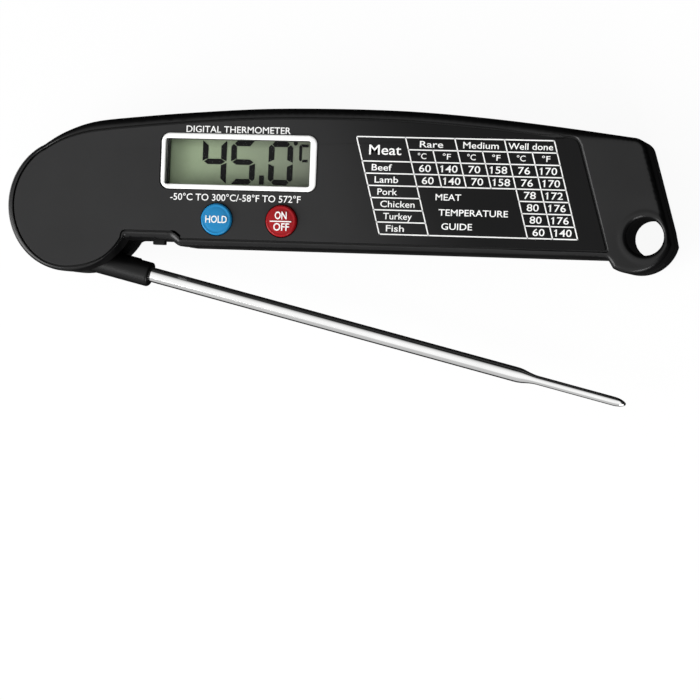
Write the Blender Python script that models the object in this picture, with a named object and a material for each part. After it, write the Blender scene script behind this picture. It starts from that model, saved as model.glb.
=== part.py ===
"""Folding digital probe thermometer, lying on its flat back with the display facing up.

The fold axis of the probe is the Z axis, +X runs along the body towards the hanging hole and +Y is the
upper edge of the display. Lengths below are millimetres. Meshes are written in metres.
"""

import math

import bmesh
import bpy
from mathutils import Matrix, Vector

MM = 0.001
GAP = 0.3
SMOOTH_ANGLE = math.radians(32)

# Housing
FRONT_Z = 18.0
PART_Z = 9.0
HALF_GAP = 0.15
WALL = 1.8
BACK_FLOOR = 2.2
FRONT_CEILING = 15.5
HEAD_R = 15.5
HEAD_TOP_ANGLE = 119.3
HEAD_NOTCH_ANGLE = 331.0
NOTCH_Y = -7.5
NOTCH_END_X = 24.6
BOTTOM_START_X = 26.6
BOTTOM_Y = -8.9
LOBE = (132.5, -3.2, 8.9)
LOBE_ANGLES = (219.8, 344.0)
END_TILT = 16.4
END_LINE = 134.2
CORNER = (131.42, 14.6, 4.0)
CORNER_ANGLES = (16.4, 82.2)
TOP_STATIONS = (
    (131.96, 18.56), (114.2, 20.85), (97.5, 22.5), (80.7, 23.6), (63.7, 24.0), (46.0, 23.6),
    (28.0, 22.4), (15.7, 21.1), (8.0, 20.2), (3.6, 19.3), (-0.3, 18.0), (-3.6, 16.4), (-7.6, 13.7),
)

# Label and rim
LABEL_MARGIN_HEAD = 1.25
LABEL_MARGIN_TOP = 2.6
LABEL_MARGIN_NOTCH = 2.05
LABEL_MARGIN_SLANT = 0.45  # added along the slanted edge after the notch
LABEL_MARGIN_NECK = 0.75
LABEL_MARGIN_BOTTOM = 1.85
RIM_FLAT = 0.4
END_MARGIN = 3.6
LABEL_END_LINE = 119.4
LABEL_END_TILT = 16.5
LABEL_FLOOR = 17.5
LABEL_Z = (17.8, 18.05)

# Hanging hole
HOLE = (135.1, -3.7)
HOLE_R = 4.1
HOLE_MOUTH_R = 5.0
HOLE_TUBE_R = 6.4

# Fold joint and probe, in the frame of the closed probe
PROBE_ANGLE = -13.0
HUB_Z = (6.0, 12.0)
HUB_R = 13.5
HUB_SLOT_Z = (5.6, 12.4)
HUB_SLOT_R = 14.2
HUB_WALL_R = 16.0
HUB_BORE_R = 3.9
STOP_LEDGE_Y = 14.12
ARM_Y = -11.0
ARM_R = 2.95
ARM_END_X = 21.3
TUBE_R = 1.75
TUBE_BORE_R = 1.25
TUBE_START_X = 9.0
TAPER_X = (111.3, 115.5)
TIP_R = 1.05
TIP_BORE_R = 0.65
TIP_X = (134.7, 137.1)
LEAD_R = 0.3

# Display
DISPLAY = (40.62, 10.72)
FRAME_SIZE = (36.9, 12.9)
FRAME_OPENING = (34.1, 10.35)
SKIRT_SIZE = (36.0, 11.65)
WINDOW_SIZE = (34.6, 10.9)
LCD_SIZE = (38.2, 13.8)

# Controls
BUTTON_Y = -2.5
HOLD_X = 35.8
POWER_X = 51.2
BUTTON_R = 3.8
BUTTON_HOLE_R = 4.1

# Electronics
BOARD_Z = (8.0, 9.6)
BOARD_SCREWS = ((24.0, -1.6), (59.3, 0.3))
HOUSING_SCREWS = ((9.8, 16.2), (18.2, -1.6), (70.0, 19.0), (67.0, -4.0), (120.9, 13.5), (118.9, -4.2))
SCREW_BOSS_R = 2.4

# Battery
BATTERY_X = (69.8, 114.3)
BATTERY_YZ = (8.5, 8.35)
BATTERY_R = 5.25
DOOR_X = (64.0, 115.5)
DOOR_Y = (2.5, 14.5)
DOOR_THICK = 1.8
DOOR_AXIS = (65.1, 1.1)


def clear_scene():
    for obj in list(bpy.data.objects):
        bpy.data.objects.remove(obj, do_unlink=True)


def material(name, colour, roughness, metallic=0.0, transmission=0.0):
    made = bpy.data.materials.new(name)
    made.use_nodes = True
    shader = made.node_tree.nodes["Principled BSDF"]
    shader.inputs["Base Color"].default_value = (*colour, 1.0)
    shader.inputs["Roughness"].default_value = roughness
    shader.inputs["Metallic"].default_value = metallic
    shader.inputs["Transmission Weight"].default_value = transmission
    made.diffuse_color = (*colour, 1.0)
    made.metallic = metallic
    made.roughness = roughness
    return made


def as_object(name, shape):
    bmesh.ops.recalc_face_normals(shape, faces=shape.faces)
    data = bpy.data.meshes.new(name)
    shape.to_mesh(data)
    shape.free()
    made = bpy.data.objects.new(name, data)
    bpy.context.scene.collection.objects.link(made)
    return made


def loft(name, sections):
    """A closed solid through rings of equal count, each a list of (x, y, z)."""
    shape = bmesh.new()
    rings = [[shape.verts.new(Vector(point) * MM) for point in section] for section in sections]
    count = len(rings[0])
    for lower, upper in zip(rings, rings[1:]):
        for i in range(count):
            j = (i + 1) % count
            shape.faces.new((lower[i], lower[j], upper[j], upper[i]))
    shape.faces.new(list(reversed(rings[0])))
    shape.faces.new(rings[-1])
    return as_object(name, shape)


def prism(name, outline, low, high):
    return loft(name, [[(x, y, low) for x, y in outline], [(x, y, high) for x, y in outline]])


def box(name, x, y, z):
    corners = [(x[0], y[0]), (x[1], y[0]), (x[1], y[1]), (x[0], y[1])]
    return prism(name, corners, z[0], z[1])


def placed(along, axis, centre):
    """Maps (distance along the axis, two offsets across it) to a point."""
    distance, u, v = along
    if axis == "X":
        return (distance, centre[0] + u, centre[1] + v)
    if axis == "Y":
        return (centre[0] + u, distance, centre[1] + v)
    return (centre[0] + u, centre[1] + v, distance)


def turned(name, profile, centre=(0.0, 0.0), axis="Z", steps=32):
    """A solid of revolution from (distance, radius) pairs."""
    sections = []
    for distance, radius in profile:
        ring = []
        for i in range(steps):
            angle = 2 * math.pi * i / steps
            ring.append(placed((distance, radius * math.cos(angle), radius * math.sin(angle)), axis, centre))
        sections.append(ring)
    return loft(name, sections)


def ring_turned(name, profile, centre=(0.0, 0.0), axis="Z", steps=32):
    """A ring of revolution from a closed loop of (distance, radius) pairs."""
    shape = bmesh.new()
    rows = []
    for i in range(steps):
        angle = 2 * math.pi * i / steps
        row = []
        for distance, radius in profile:
            point = placed((distance, radius * math.cos(angle), radius * math.sin(angle)), axis, centre)
            row.append(shape.verts.new(Vector(point) * MM))
        rows.append(row)
    count = len(profile)
    for i in range(steps):
        here, there = rows[i], rows[(i + 1) % steps]
        for k in range(count):
            n = (k + 1) % count
            shape.faces.new((here[k], here[n], there[n], there[k]))
    return as_object(name, shape)


def smooth_path(points, steps):
    """A Catmull-Rom curve through the points, which may be 2-D or 3-D."""
    rows = [Vector(point) for point in points]
    rows = [2 * rows[0] - rows[1]] + rows + [2 * rows[-1] - rows[-2]]
    made = []
    for a, b, c, d in zip(rows, rows[1:], rows[2:], rows[3:]):
        for i in range(steps):
            t = i / steps
            made.append(
                0.5 * (2 * b + (c - a) * t + (2 * a - 5 * b + 4 * c - d) * t * t
                       + (3 * b - a - 3 * c + d) * t * t * t)
            )
    made.append(rows[-2])
    return [tuple(point) for point in made]


def swept(name, path, radius, steps=8):
    """A round cord along a path of 3-D points."""
    points = [Vector(point) for point in path]
    side = Vector((0.0, 0.0, 1.0))
    if abs((points[1] - points[0]).normalized().z) > 0.9:
        side = Vector((0.0, 1.0, 0.0))
    sections = []
    for i, point in enumerate(points):
        ahead = points[min(i + 1, len(points) - 1)]
        behind = points[max(i - 1, 0)]
        along = (ahead - behind).normalized()
        side = (side - along * side.dot(along)).normalized()
        across = along.cross(side)
        ring = []
        for k in range(steps):
            angle = 2 * math.pi * k / steps
            ring.append(tuple(point + radius * (side * math.cos(angle) + across * math.sin(angle))))
        sections.append(ring)
    return loft(name, sections)


def combine(target, tool, operation):
    step = target.modifiers.new("step", "BOOLEAN")
    step.operation = operation
    step.solver = "EXACT"
    step.object = tool
    bpy.context.view_layer.objects.active = target
    bpy.ops.object.modifier_apply(modifier=step.name)
    bpy.data.objects.remove(tool, do_unlink=True)


def cut(target, *tools):
    for tool in tools:
        combine(target, tool, "DIFFERENCE")


def join(target, *tools):
    for tool in tools:
        combine(target, tool, "UNION")


def finish(obj, look, origin=None, parent=None):
    obj.data.materials.clear()
    obj.data.materials.append(look)
    obj.data.shade_smooth()
    obj.data.set_sharp_from_angle(angle=SMOOTH_ANGLE)
    if origin is not None:
        obj.data.transform(Matrix.Translation(-Vector(origin) * MM))
        obj.location = Vector(origin) * MM
    if parent is not None:
        obj.parent = parent
        obj.location = obj.location - parent.location
    return obj


def arc(centre_x, centre_y, radius, start, end, steps):
    made = []
    for i in range(steps + 1):
        angle = math.radians(start + (end - start) * i / steps)
        made.append((centre_x + radius * math.cos(angle), centre_y + radius * math.sin(angle)))
    return made


def rounded_rectangle(centre, size, radius, steps=4):
    half_x = size[0] / 2 - radius
    half_y = size[1] / 2 - radius
    made = []
    for sign_x, sign_y, start in ((1, 1, 0), (-1, 1, 90), (-1, -1, 180), (1, -1, 270)):
        corner = (centre[0] + sign_x * half_x, centre[1] + sign_y * half_y)
        made += arc(corner[0], corner[1], radius, start, start + 90, steps)
    return made


def end_line_point(line, tilt, y):
    angle = math.radians(tilt)
    return ((line - y * math.sin(angle)) / math.cos(angle), y)


def body_outline():
    points = arc(0.0, 0.0, HEAD_R, HEAD_TOP_ANGLE, HEAD_NOTCH_ANGLE, 28)
    points += [(19.0, NOTCH_Y), (NOTCH_END_X, NOTCH_Y), (BOTTOM_START_X, BOTTOM_Y)]
    points += [(x, BOTTOM_Y) for x in (42.0, 58.0, 74.0, 90.0, 106.0, 118.0)]
    points += arc(*LOBE, *LOBE_ANGLES, 12)
    points += [end_line_point(END_LINE, END_TILT, y) for y in (-1.0, 5.0, 10.0)]
    points += arc(*CORNER, *CORNER_ANGLES, 4)
    points += smooth_path(TOP_STATIONS, 2)[1:-1]
    return points


def ease(value, low, high):
    t = min(max((value - low) / (high - low), 0.0), 1.0)
    return t * t * (3 - 2 * t)


def label_margin(x, y):
    """Distance from the side of the body to the edge of the printed label."""
    if y > 0:
        return LABEL_MARGIN_HEAD + (LABEL_MARGIN_TOP - LABEL_MARGIN_HEAD) * ease(x, -9.0, 9.0)
    margin = LABEL_MARGIN_HEAD + (LABEL_MARGIN_NECK - LABEL_MARGIN_HEAD) * ease(x, 2.0, 11.0)
    margin += (LABEL_MARGIN_NOTCH - LABEL_MARGIN_NECK) * ease(x, 13.3, 14.0)
    margin += LABEL_MARGIN_SLANT * ease(x, 24.2, 25.0) * (1 - ease(x, 26.0, 27.4))
    return margin + (LABEL_MARGIN_BOTTOM - LABEL_MARGIN_NOTCH) * ease(x, 24.0, 27.0)


def rim_margin(x, y):
    """Width of the rounded rim, which widens into a pillow at the hanging hole."""
    rim = label_margin(x, y) - RIM_FLAT
    return rim + (END_MARGIN - rim) * ease(x, 119.0, 131.0)


def rim_height(x):
    return 1.3 + 1.1 * ease(x, -4.0, 14.0) + 1.2 * ease(x, 119.0, 131.0)


def inset(outline, distances):
    """The outline moved inwards, each corner by its own distance."""
    made = []
    count = len(outline)
    for i, (x, y) in enumerate(outline):
        before = Vector(outline[i - 1])
        here = Vector((x, y))
        after = Vector(outline[(i + 1) % count])
        first = (here - before).normalized()
        second = (after - here).normalized()
        normal_a = Vector((-first.y, first.x))
        normal_b = Vector((-second.y, second.x))
        middle = (normal_a + normal_b).normalized()
        reach = distances[i] / max(middle.dot(normal_a), 0.6)
        made.append(tuple(here + middle * reach))
    return made


def rim_sections(outline, flat_z, side_z, top):
    """Rings from the parting plane to the outer face, with a rounded rim."""
    direction = 1.0 if top else -1.0
    sections = [[(x, y, side_z) for x, y in outline]]
    for angle in (0.0, 28.0, 52.0, 72.0, 90.0):
        turn = math.radians(angle)
        distances = [rim_margin(x, y) * (1 - math.cos(turn)) for x, y in outline]
        ring = []
        for (x, y), (u, v) in zip(outline, inset(outline, distances)):
            ring.append((u, v, flat_z - direction * rim_height(x) * (1 - math.sin(turn))))
        sections.append(ring)
    return sections


def label_outline(grow=0.0):
    outline = body_outline()
    distances = [label_margin(x, y) - grow for x, y in outline]
    moved = inset(outline, distances)
    limit = LABEL_END_LINE + grow
    angle = math.radians(LABEL_END_TILT)
    lower = [p for p in moved if p[1] <= 0 and 0 < p[0] < 122.0]
    upper = [p for p in moved if p[1] > 0 and p[0] < 116.0]
    head = [p for p in moved if p[1] <= 0 and p[0] <= 0]
    upper_right = [p for p in upper if p[0] > -7.0]
    upper_left = [p for p in upper if p[0] <= -7.0]
    bottom_y = lower[-1][1]
    corner = end_line_point(limit, LABEL_END_TILT, bottom_y)
    turn_low = [(corner[0] - 1.2, bottom_y), (corner[0] - 0.15, bottom_y + 0.5)]
    top_y = 18.15 + grow
    peak = end_line_point(limit, LABEL_END_TILT, top_y)
    turn_high = [
        (peak[0] + 1.7 * math.sin(angle), top_y - 1.7 * math.cos(angle)),
        (peak[0] - 0.05, top_y - 0.75),
        (peak[0] - 0.75, top_y - 0.1),
        (peak[0] - 1.9, top_y + 0.12),
    ]
    return upper_left + head + lower + turn_low + turn_high + upper_right


def cavity(name, low, high, far):
    """The space inside one shell half, with the bosses and walls that stand in it left out."""
    outline = body_outline()
    room = prism(name, inset(outline, [WALL] * len(outline)), low, high)
    cut(room, turned("hub_wall", [(low - 2, HUB_WALL_R), (high + 2, HUB_WALL_R)], steps=40))
    cut(room, box("head_block", (-20.0, 5.0), (-20.0, 30.0), (low - 1, high + 1)))
    cut(room, box("lobe_block", (119.0, 150.0), (-20.0, BOTTOM_Y + WALL), (low - 1, high + 1)))
    cut(room, turned("hole_tube", [(low - 1, HOLE_TUBE_R), (high + 1, HOLE_TUBE_R)], HOLE, steps=28))
    for x, y in HOUSING_SCREWS:
        cut(room, turned("boss", [(low - 1, SCREW_BOSS_R), (high + 1, SCREW_BOSS_R)], (x, y), steps=12))
    for block in far:
        cut(room, block)
    return room


def shared_cuts(shell, low, high):
    """Openings that run through the parting plane of both halves."""
    cut(shell, turned("hub_slot", [(max(low, HUB_SLOT_Z[0]), HUB_SLOT_R),
                                   (min(high, HUB_SLOT_Z[1]), HUB_SLOT_R)], steps=40))
    slot_z = (max(low, HUB_SLOT_Z[0]), min(high, HUB_SLOT_Z[1]))
    cut(shell, box("sweep_left", (-20.0, 0.0), (-20.0, STOP_LEDGE_Y), slot_z))
    cut(shell, box("sweep_right", (-1.0, 15.5), (-20.0, NOTCH_Y - 0.2), slot_z))
    cut(shell, box("tube_groove", (23.0, 127.0), (-15.0, BOTTOM_Y + GAP), (6.9, 11.1)))
    cut(shell, box("tip_slot", (122.0, 150.0), (-15.0, -9.4), (7.4, 10.6)))
    cut(shell, box("catch_slot", (18.3, 21.75), (-9.0, -5.5), (7.7, 10.3)))


def front_shell(look):
    shell = loft("front_shell", rim_sections(body_outline(), FRONT_Z, PART_Z + HALF_GAP, True))
    stands = []
    for x, y in BOARD_SCREWS:
        stands.append(turned("stand", [(9.9, 2.2), (17.0, 2.2)], (x, y), steps=12))
    cut(shell, cavity("front_room", PART_Z - 1, FRONT_CEILING, stands))
    shared_cuts(shell, PART_Z - 1, HUB_SLOT_Z[1])
    cut(shell, prism("label_recess", label_outline(GAP), LABEL_FLOOR, FRONT_Z + 1))
    opening = rounded_rectangle(DISPLAY, (SKIRT_SIZE[0] + 2 * GAP, SKIRT_SIZE[1] + 2 * GAP), 1.3)
    cut(shell, prism("display_opening", opening, FRONT_CEILING - 1, FRONT_Z + 1))
    for x in (HOLD_X, POWER_X):
        cut(shell, turned("button_hole", [(FRONT_CEILING - 1, BUTTON_HOLE_R), (FRONT_Z + 1, BUTTON_HOLE_R)],
                          (x, BUTTON_Y), steps=32))
    cut(shell, turned("hang_hole", [(PART_Z - 1, HOLE_R), (FRONT_Z - 2.6, HOLE_R), (FRONT_Z - 1.2, HOLE_R + 0.35),
                                    (FRONT_Z, HOLE_MOUTH_R), (FRONT_Z + 1, HOLE_MOUTH_R + 1)], HOLE, steps=28))
    cut(shell, ring_turned("seal_groove", [(11.0, 10.0), (13.9, 10.0), (13.9, 12.0), (11.0, 12.0)], steps=32))
    cut(shell, turned("washer_seat", [(11.0, 8.2), (13.6, 8.2)], steps=36))
    cut(shell, turned("axle_bore", [(11.0, HUB_BORE_R), (15.6, HUB_BORE_R)], steps=28))
    cut(shell, box("lead_channel", (0.5, 17.5), (1.2, 3.2), (13.8, 15.8)))
    for x, y in HOUSING_SCREWS:
        cut(shell, turned("screw_hole", [(PART_Z - 1, 1.15), (14.4, 1.15)], (x, y), steps=12))
    for x, y in BOARD_SCREWS:
        cut(shell, turned("stand_hole", [(PART_Z, 1.05), (13.6, 1.05)], (x, y), steps=12))
    return finish(shell, look)


def back_shell(look):
    sections = rim_sections(body_outline(), 0.0, PART_Z - HALF_GAP, False)
    shell = loft("back_shell", sections)
    ribs = [
        box("rib_low", (62.6, 117.0), (1.0, 2.0), (1.0, 7.6)),
        box("rib_high", (62.6, 117.0), (15.0, 16.0), (1.0, 7.6)),
        box("rib_end", (116.0, 117.0), (1.5, 15.5), (1.0, 8.2)),
        box("rib_front", (62.6, 63.6), (1.5, 15.5), (1.0, 7.4)),
    ]
    cut(shell, cavity("back_room", BACK_FLOOR, PART_Z + 1, ribs))
    shared_cuts(shell, HUB_SLOT_Z[0], PART_Z + 1)
    cut(shell, box("door_opening", (DOOR_X[0] - GAP, DOOR_X[1] + GAP), (DOOR_Y[0] - GAP, DOOR_Y[1] + GAP), (-1.0, 3.0)))
    for low, high in ((DOOR_Y[0] - 1.3, DOOR_Y[0]), (DOOR_Y[1], DOOR_Y[1] + 1.3)):
        cut(shell, turned("pin_hole", [(low, 0.75), (high, 0.75)], DOOR_AXIS, "Y", 10))
    cut(shell, turned("hang_hole", [(-1.0, HOLE_MOUTH_R + 1), (0.0, HOLE_MOUTH_R), (1.2, HOLE_R + 0.35),
                                    (2.6, HOLE_R), (PART_Z + 1, HOLE_R)], HOLE, steps=28))
    cut(shell, ring_turned("seal_groove", [(4.1, 10.0), (7.0, 10.0), (7.0, 12.0), (4.1, 12.0)], steps=32))
    cut(shell, turned("axle_bore", [(2.5, HUB_BORE_R), (7.0, HUB_BORE_R)], steps=28))
    for x, y in HOUSING_SCREWS:
        cut(shell, turned("screw_seat", [(-1.0, 2.15), (1.9, 2.15)], (x, y), steps=16))
        cut(shell, turned("screw_hole", [(1.0, 1.15), (PART_Z + 1, 1.15)], (x, y), steps=12))
    return finish(shell, look)


def screw(name, x, y, head_z, tip_z, head_r, shank_r, look):
    """A pan-head screw that points upwards, with a cross recess."""
    made = turned(name, [(head_z, head_r * 0.82), (head_z + 0.35, head_r), (head_z + 1.0, head_r)], (x, y), steps=16)
    join(made, turned("shank", [(head_z + 0.5, shank_r), (tip_z - 0.7, shank_r), (tip_z, shank_r * 0.35)],
                      (x, y), steps=8))
    reach = head_r * 0.62
    cut(made, box("cross_a", (x - reach, x + reach), (y - 0.2, y + 0.2), (head_z - 1, head_z + 0.6)))
    cut(made, box("cross_b", (x - 0.2, x + 0.2), (y - reach, y + reach), (head_z - 1, head_z + 0.6)))
    return finish(made, look)


def wave_washer(look):
    steps = 36
    shape = bmesh.new()
    rows = []
    for i in range(steps):
        angle = 2 * math.pi * i / steps
        middle = 12.95 + 0.22 * math.cos(3 * angle)
        row = []
        for radius, z in ((4.4, middle - 0.15), (7.8, middle - 0.15), (7.8, middle + 0.15), (4.4, middle + 0.15)):
            row.append(shape.verts.new(Vector((radius * math.cos(angle), radius * math.sin(angle), z)) * MM))
        rows.append(row)
    for i in range(steps):
        here, there = rows[i], rows[(i + 1) % steps]
        for k in range(4):
            n = (k + 1) % 4
            shape.faces.new((here[k], here[n], there[n], there[k]))
    return finish(as_object("wave_washer", shape), look)


def seal_ring(name, z, look):
    profile = []
    for k in range(6):
        angle = 2 * math.pi * k / 6
        profile.append((z + 0.5 * math.sin(angle), 11.0 + 0.5 * math.cos(angle)))
    return finish(ring_turned(name, profile, steps=32), look)


def display_parts(looks):
    label = prism("front_label", label_outline(), *LABEL_Z)
    window_hole = rounded_rectangle(DISPLAY, (FRAME_SIZE[0] + 2 * GAP, FRAME_SIZE[1] + 2 * GAP), 2.2)
    cut(label, prism("frame_hole", window_hole, LABEL_Z[0] - 1, LABEL_Z[1] + 1))
    for x in (HOLD_X, POWER_X):
        cut(label, turned("button_hole", [(LABEL_Z[0] - 1, BUTTON_HOLE_R), (LABEL_Z[1] + 1, BUTTON_HOLE_R)],
                          (x, BUTTON_Y), steps=32))
    finish(label, looks["label"])

    flange = rounded_rectangle(DISPLAY, FRAME_SIZE, 2.0)
    top = rounded_rectangle(DISPLAY, (FRAME_SIZE[0] - 0.4, FRAME_SIZE[1] - 0.4), 1.8)
    frame = loft("display_frame", [[(x, y, 17.8) for x, y in flange], [(x, y, 18.15) for x, y in flange],
                                   [(x, y, 18.35) for x, y in top]])
    join(frame, prism("skirt", rounded_rectangle(DISPLAY, SKIRT_SIZE, 1.0), 15.6, 18.0))
    cut(frame, prism("opening", rounded_rectangle(DISPLAY, FRAME_OPENING, 1.0), 15.0, 19.0))
    inner = (WINDOW_SIZE[0] + 0.6, WINDOW_SIZE[1] + 0.3)
    cut(frame, prism("seat", rounded_rectangle(DISPLAY, inner, 0.4), 15.0, 17.3))
    finish(frame, looks["frame"])

    window_size = (WINDOW_SIZE[0], WINDOW_SIZE[1] - 0.3)
    finish(prism("display_window", rounded_rectangle(DISPLAY, window_size, 0.3), 16.0, 17.0), looks["window"])

    holder = prism("lcd_holder", rounded_rectangle(DISPLAY, (39.4, 15.0), 0.8), 12.5, 15.2)
    cut(holder, prism("pocket", rounded_rectangle(DISPLAY, (LCD_SIZE[0] + 0.6, LCD_SIZE[1] + 0.6), 0.4), 12.0, 14.5))
    cut(holder, prism("view", rounded_rectangle(DISPLAY, (34.5, 10.8), 0.5), 12.0, 16.0))
    finish(holder, looks["dark_plastic"])
    finish(prism("lcd_cell", rounded_rectangle(DISPLAY, LCD_SIZE, 0.2), 12.6, 14.2), looks["lcd"])
    finish(prism("lcd_reflector", rounded_rectangle(DISPLAY, (36.0, 9.2), 0.2), 11.9, 12.3), looks["reflector"])
    for name, y in (("zebra_strip_upper", 16.2), ("zebra_strip_lower", 4.95)):
        finish(box(name, (23.5, 57.7), (y - 0.8, y + 0.8), (9.9, 12.3)), looks["zebra"])


def electronics(looks):
    outline = [(21.0, -3.9), (27.5, -3.9), (27.5, -6.4), (62.0, -6.4), (62.0, 18.2), (21.0, 18.2)]
    board = prism("circuit_board", outline, *BOARD_Z)
    for x, y in BOARD_SCREWS:
        cut(board, turned("hole", [(BOARD_Z[0] - 1, 1.05), (BOARD_Z[1] + 1, 1.05)], (x, y), steps=12))
    finish(board, looks["board"])

    chip = box("controller_chip", (39.0, 48.0), (6.0, 15.0), (6.7, 7.7))
    finish(chip, looks["chip"])
    crystal = prism("timing_crystal", rounded_rectangle((29.5, 12.5), (8.4, 3.4), 1.6), 4.6, 7.7)
    finish(crystal, looks["steel"])
    finish(turned("filter_capacitor", [(3.2, 1.8), (3.5, 2.0), (7.7, 2.0)], (55.0, 11.0), steps=20), looks["can"])

    for name, x in (("hold", HOLD_X), ("power", POWER_X)):
        body = box(name + "_switch", (x - 2.25, x + 2.25), (BUTTON_Y - 2.25, BUTTON_Y + 2.25), (9.9, 12.4))
        cut(body, turned("well", [(10.8, 1.5), (13.0, 1.5)], (x, BUTTON_Y), steps=16))
        finish(body, looks["chip"])

    for number, (x, y) in enumerate(BOARD_SCREWS, 1):
        screw("board_screw_%d" % number, x, y, 6.6, 13.0, 1.7, 0.7, looks["steel"])


def buttons(looks):
    for name, x in (("hold", HOLD_X), ("power", POWER_X)):
        cap = turned(name + "_button", [(14.3, 4.4), (15.2, 4.4), (15.2, BUTTON_R), (18.35, BUTTON_R),
                                        (18.7, BUTTON_R - 0.2), (18.85, BUTTON_R - 0.6), (18.75, BUTTON_R - 0.95),
                                        (18.95, 2.0), (19.05, 0.8)], (x, BUTTON_Y), steps=26)
        finish(cap, looks[name], origin=(x, BUTTON_Y, 14.3))
        plunger = turned(name + "_switch_plunger", [(11.6, 1.2), (13.85, 1.2), (14.0, 1.05)], (x, BUTTON_Y), steps=16)
        finish(plunger, looks["dark_plastic"], origin=(x, BUTTON_Y, 14.3))


def battery_parts(looks):
    y, z = BATTERY_YZ
    start, end = BATTERY_X
    cell = turned("battery_cell", [(start, 4.0), (start, 4.6), (start + 0.5, BATTERY_R), (end - 1.7, BATTERY_R),
                                   (end - 1.2, 4.7), (end - 0.9, 2.0), (end - 0.1, 1.9), (end, 1.7)],
                  (y, z), "X", 28)
    finish(cell, looks["battery"])

    plate = box("battery_spring_plate", (64.3, 64.7), (y - 4.5, y + 4.5), (3.0, 12.6))
    finish(plate, looks["nickel"])
    plate = box("battery_plus_plate", (114.7, 115.1), (y - 4.5, y + 4.5), (3.0, 12.6))
    finish(plate, looks["nickel"])

    turns = 3.5
    count = 40
    path = []
    for i in range(count + 1):
        share = i / count
        angle = 2 * math.pi * turns * share
        radius = 3.6 - 1.5 * share
        path.append((65.3 + 3.7 * share, y + radius * math.cos(angle), z + radius * math.sin(angle)))
    finish(swept("battery_spring", path, 0.28, 6), looks["nickel"])

    red = smooth_path([(115.9, 14.0, 12.2), (115.9, 15.2, 13.6), (113.5, 16.6, 14.6), (104.0, 16.8, 14.7),
                       (74.0, 15.2, 14.7), (66.0, 15.0, 14.4), (63.2, 15.0, 12.4), (61.3, 15.0, 10.5)], 4)
    finish(swept("supply_lead_red", red, 0.45, 6), looks["red_wire"])
    black = smooth_path([(63.6, 6.5, 12.4), (63.2, 6.4, 13.4), (62.2, 6.2, 13.0), (61.4, 6.0, 10.5)], 4)
    finish(swept("supply_lead_black", black, 0.45, 6), looks["black_wire"])

    x_axis, z_axis = DOOR_AXIS
    profile = arc(x_axis, z_axis, z_axis, 270, 140.5, 7) + [(DOOR_X[1], DOOR_THICK), (DOOR_X[1], 0.0)]
    door = loft("battery_door", [[(x, DOOR_Y[0], z) for x, z in profile], [(x, DOOR_Y[1], z) for x, z in profile]])
    join(door, turned("hinge_pin", [(DOOR_Y[0] - 1.0, 0.45), (DOOR_Y[0] + 1.0, 0.45)], DOOR_AXIS, "Y", 10))
    join(door, turned("hinge_pin", [(DOOR_Y[1] - 1.0, 0.45), (DOOR_Y[1] + 1.0, 0.45)], DOOR_AXIS, "Y", 10))
    join(door, box("latch", (114.0, 115.2), (6.0, 11.0), (1.2, 2.6)))
    for step in range(4):
        x = 105.0 + 1.8 * step
        cut(door, box("thumb_groove", (x, x + 0.8), (5.0, 12.0), (-1.0, 0.45)))
    finish(door, looks["shell"], origin=(x_axis, 8.5, z_axis))
    pad = box("door_pad", (82.0, 102.0), (5.5, 11.5), (2.1, 2.7))
    finish(pad, looks["foam"], origin=(x_axis, 8.5, z_axis))


def fold_joint(looks):
    axle = ring_turned("pivot_axle", [(2.8, 2.2), (13.6, 2.2), (13.6, 3.6), (2.8, 3.6)], steps=28)
    cut(axle, box("lead_window", (-1.0, 1.0), (-5.0, 0.0), (8.4, 10.4)))
    finish(axle, looks["brass"])
    wave_washer(looks["steel"])
    seal_ring("hub_seal_front", 13.1, looks["rubber"])
    seal_ring("hub_seal_back", 4.9, looks["rubber"])

    catch = box("arm_catch", (18.6, 21.45), (-8.5, -4.6), (8.0, 10.0))
    join(catch, box("catch_foot", (17.7, 22.4), (-5.2, -4.4), (8.0, 10.0)))
    finish(catch, looks["rubber"])

    path = smooth_path([(0.0, 0.0, 9.5), (0.0, 0.0, 12.6), (0.5, 0.6, 14.2), (3.0, 2.0, 14.8), (14.5, 2.2, 14.8),
                        (18.8, 2.2, 14.2), (20.4, 2.0, 12.2), (22.2, 1.7, 10.5)], 4)
    finish(swept("board_lead", path, 0.45, 6), looks["black_wire"])


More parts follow.
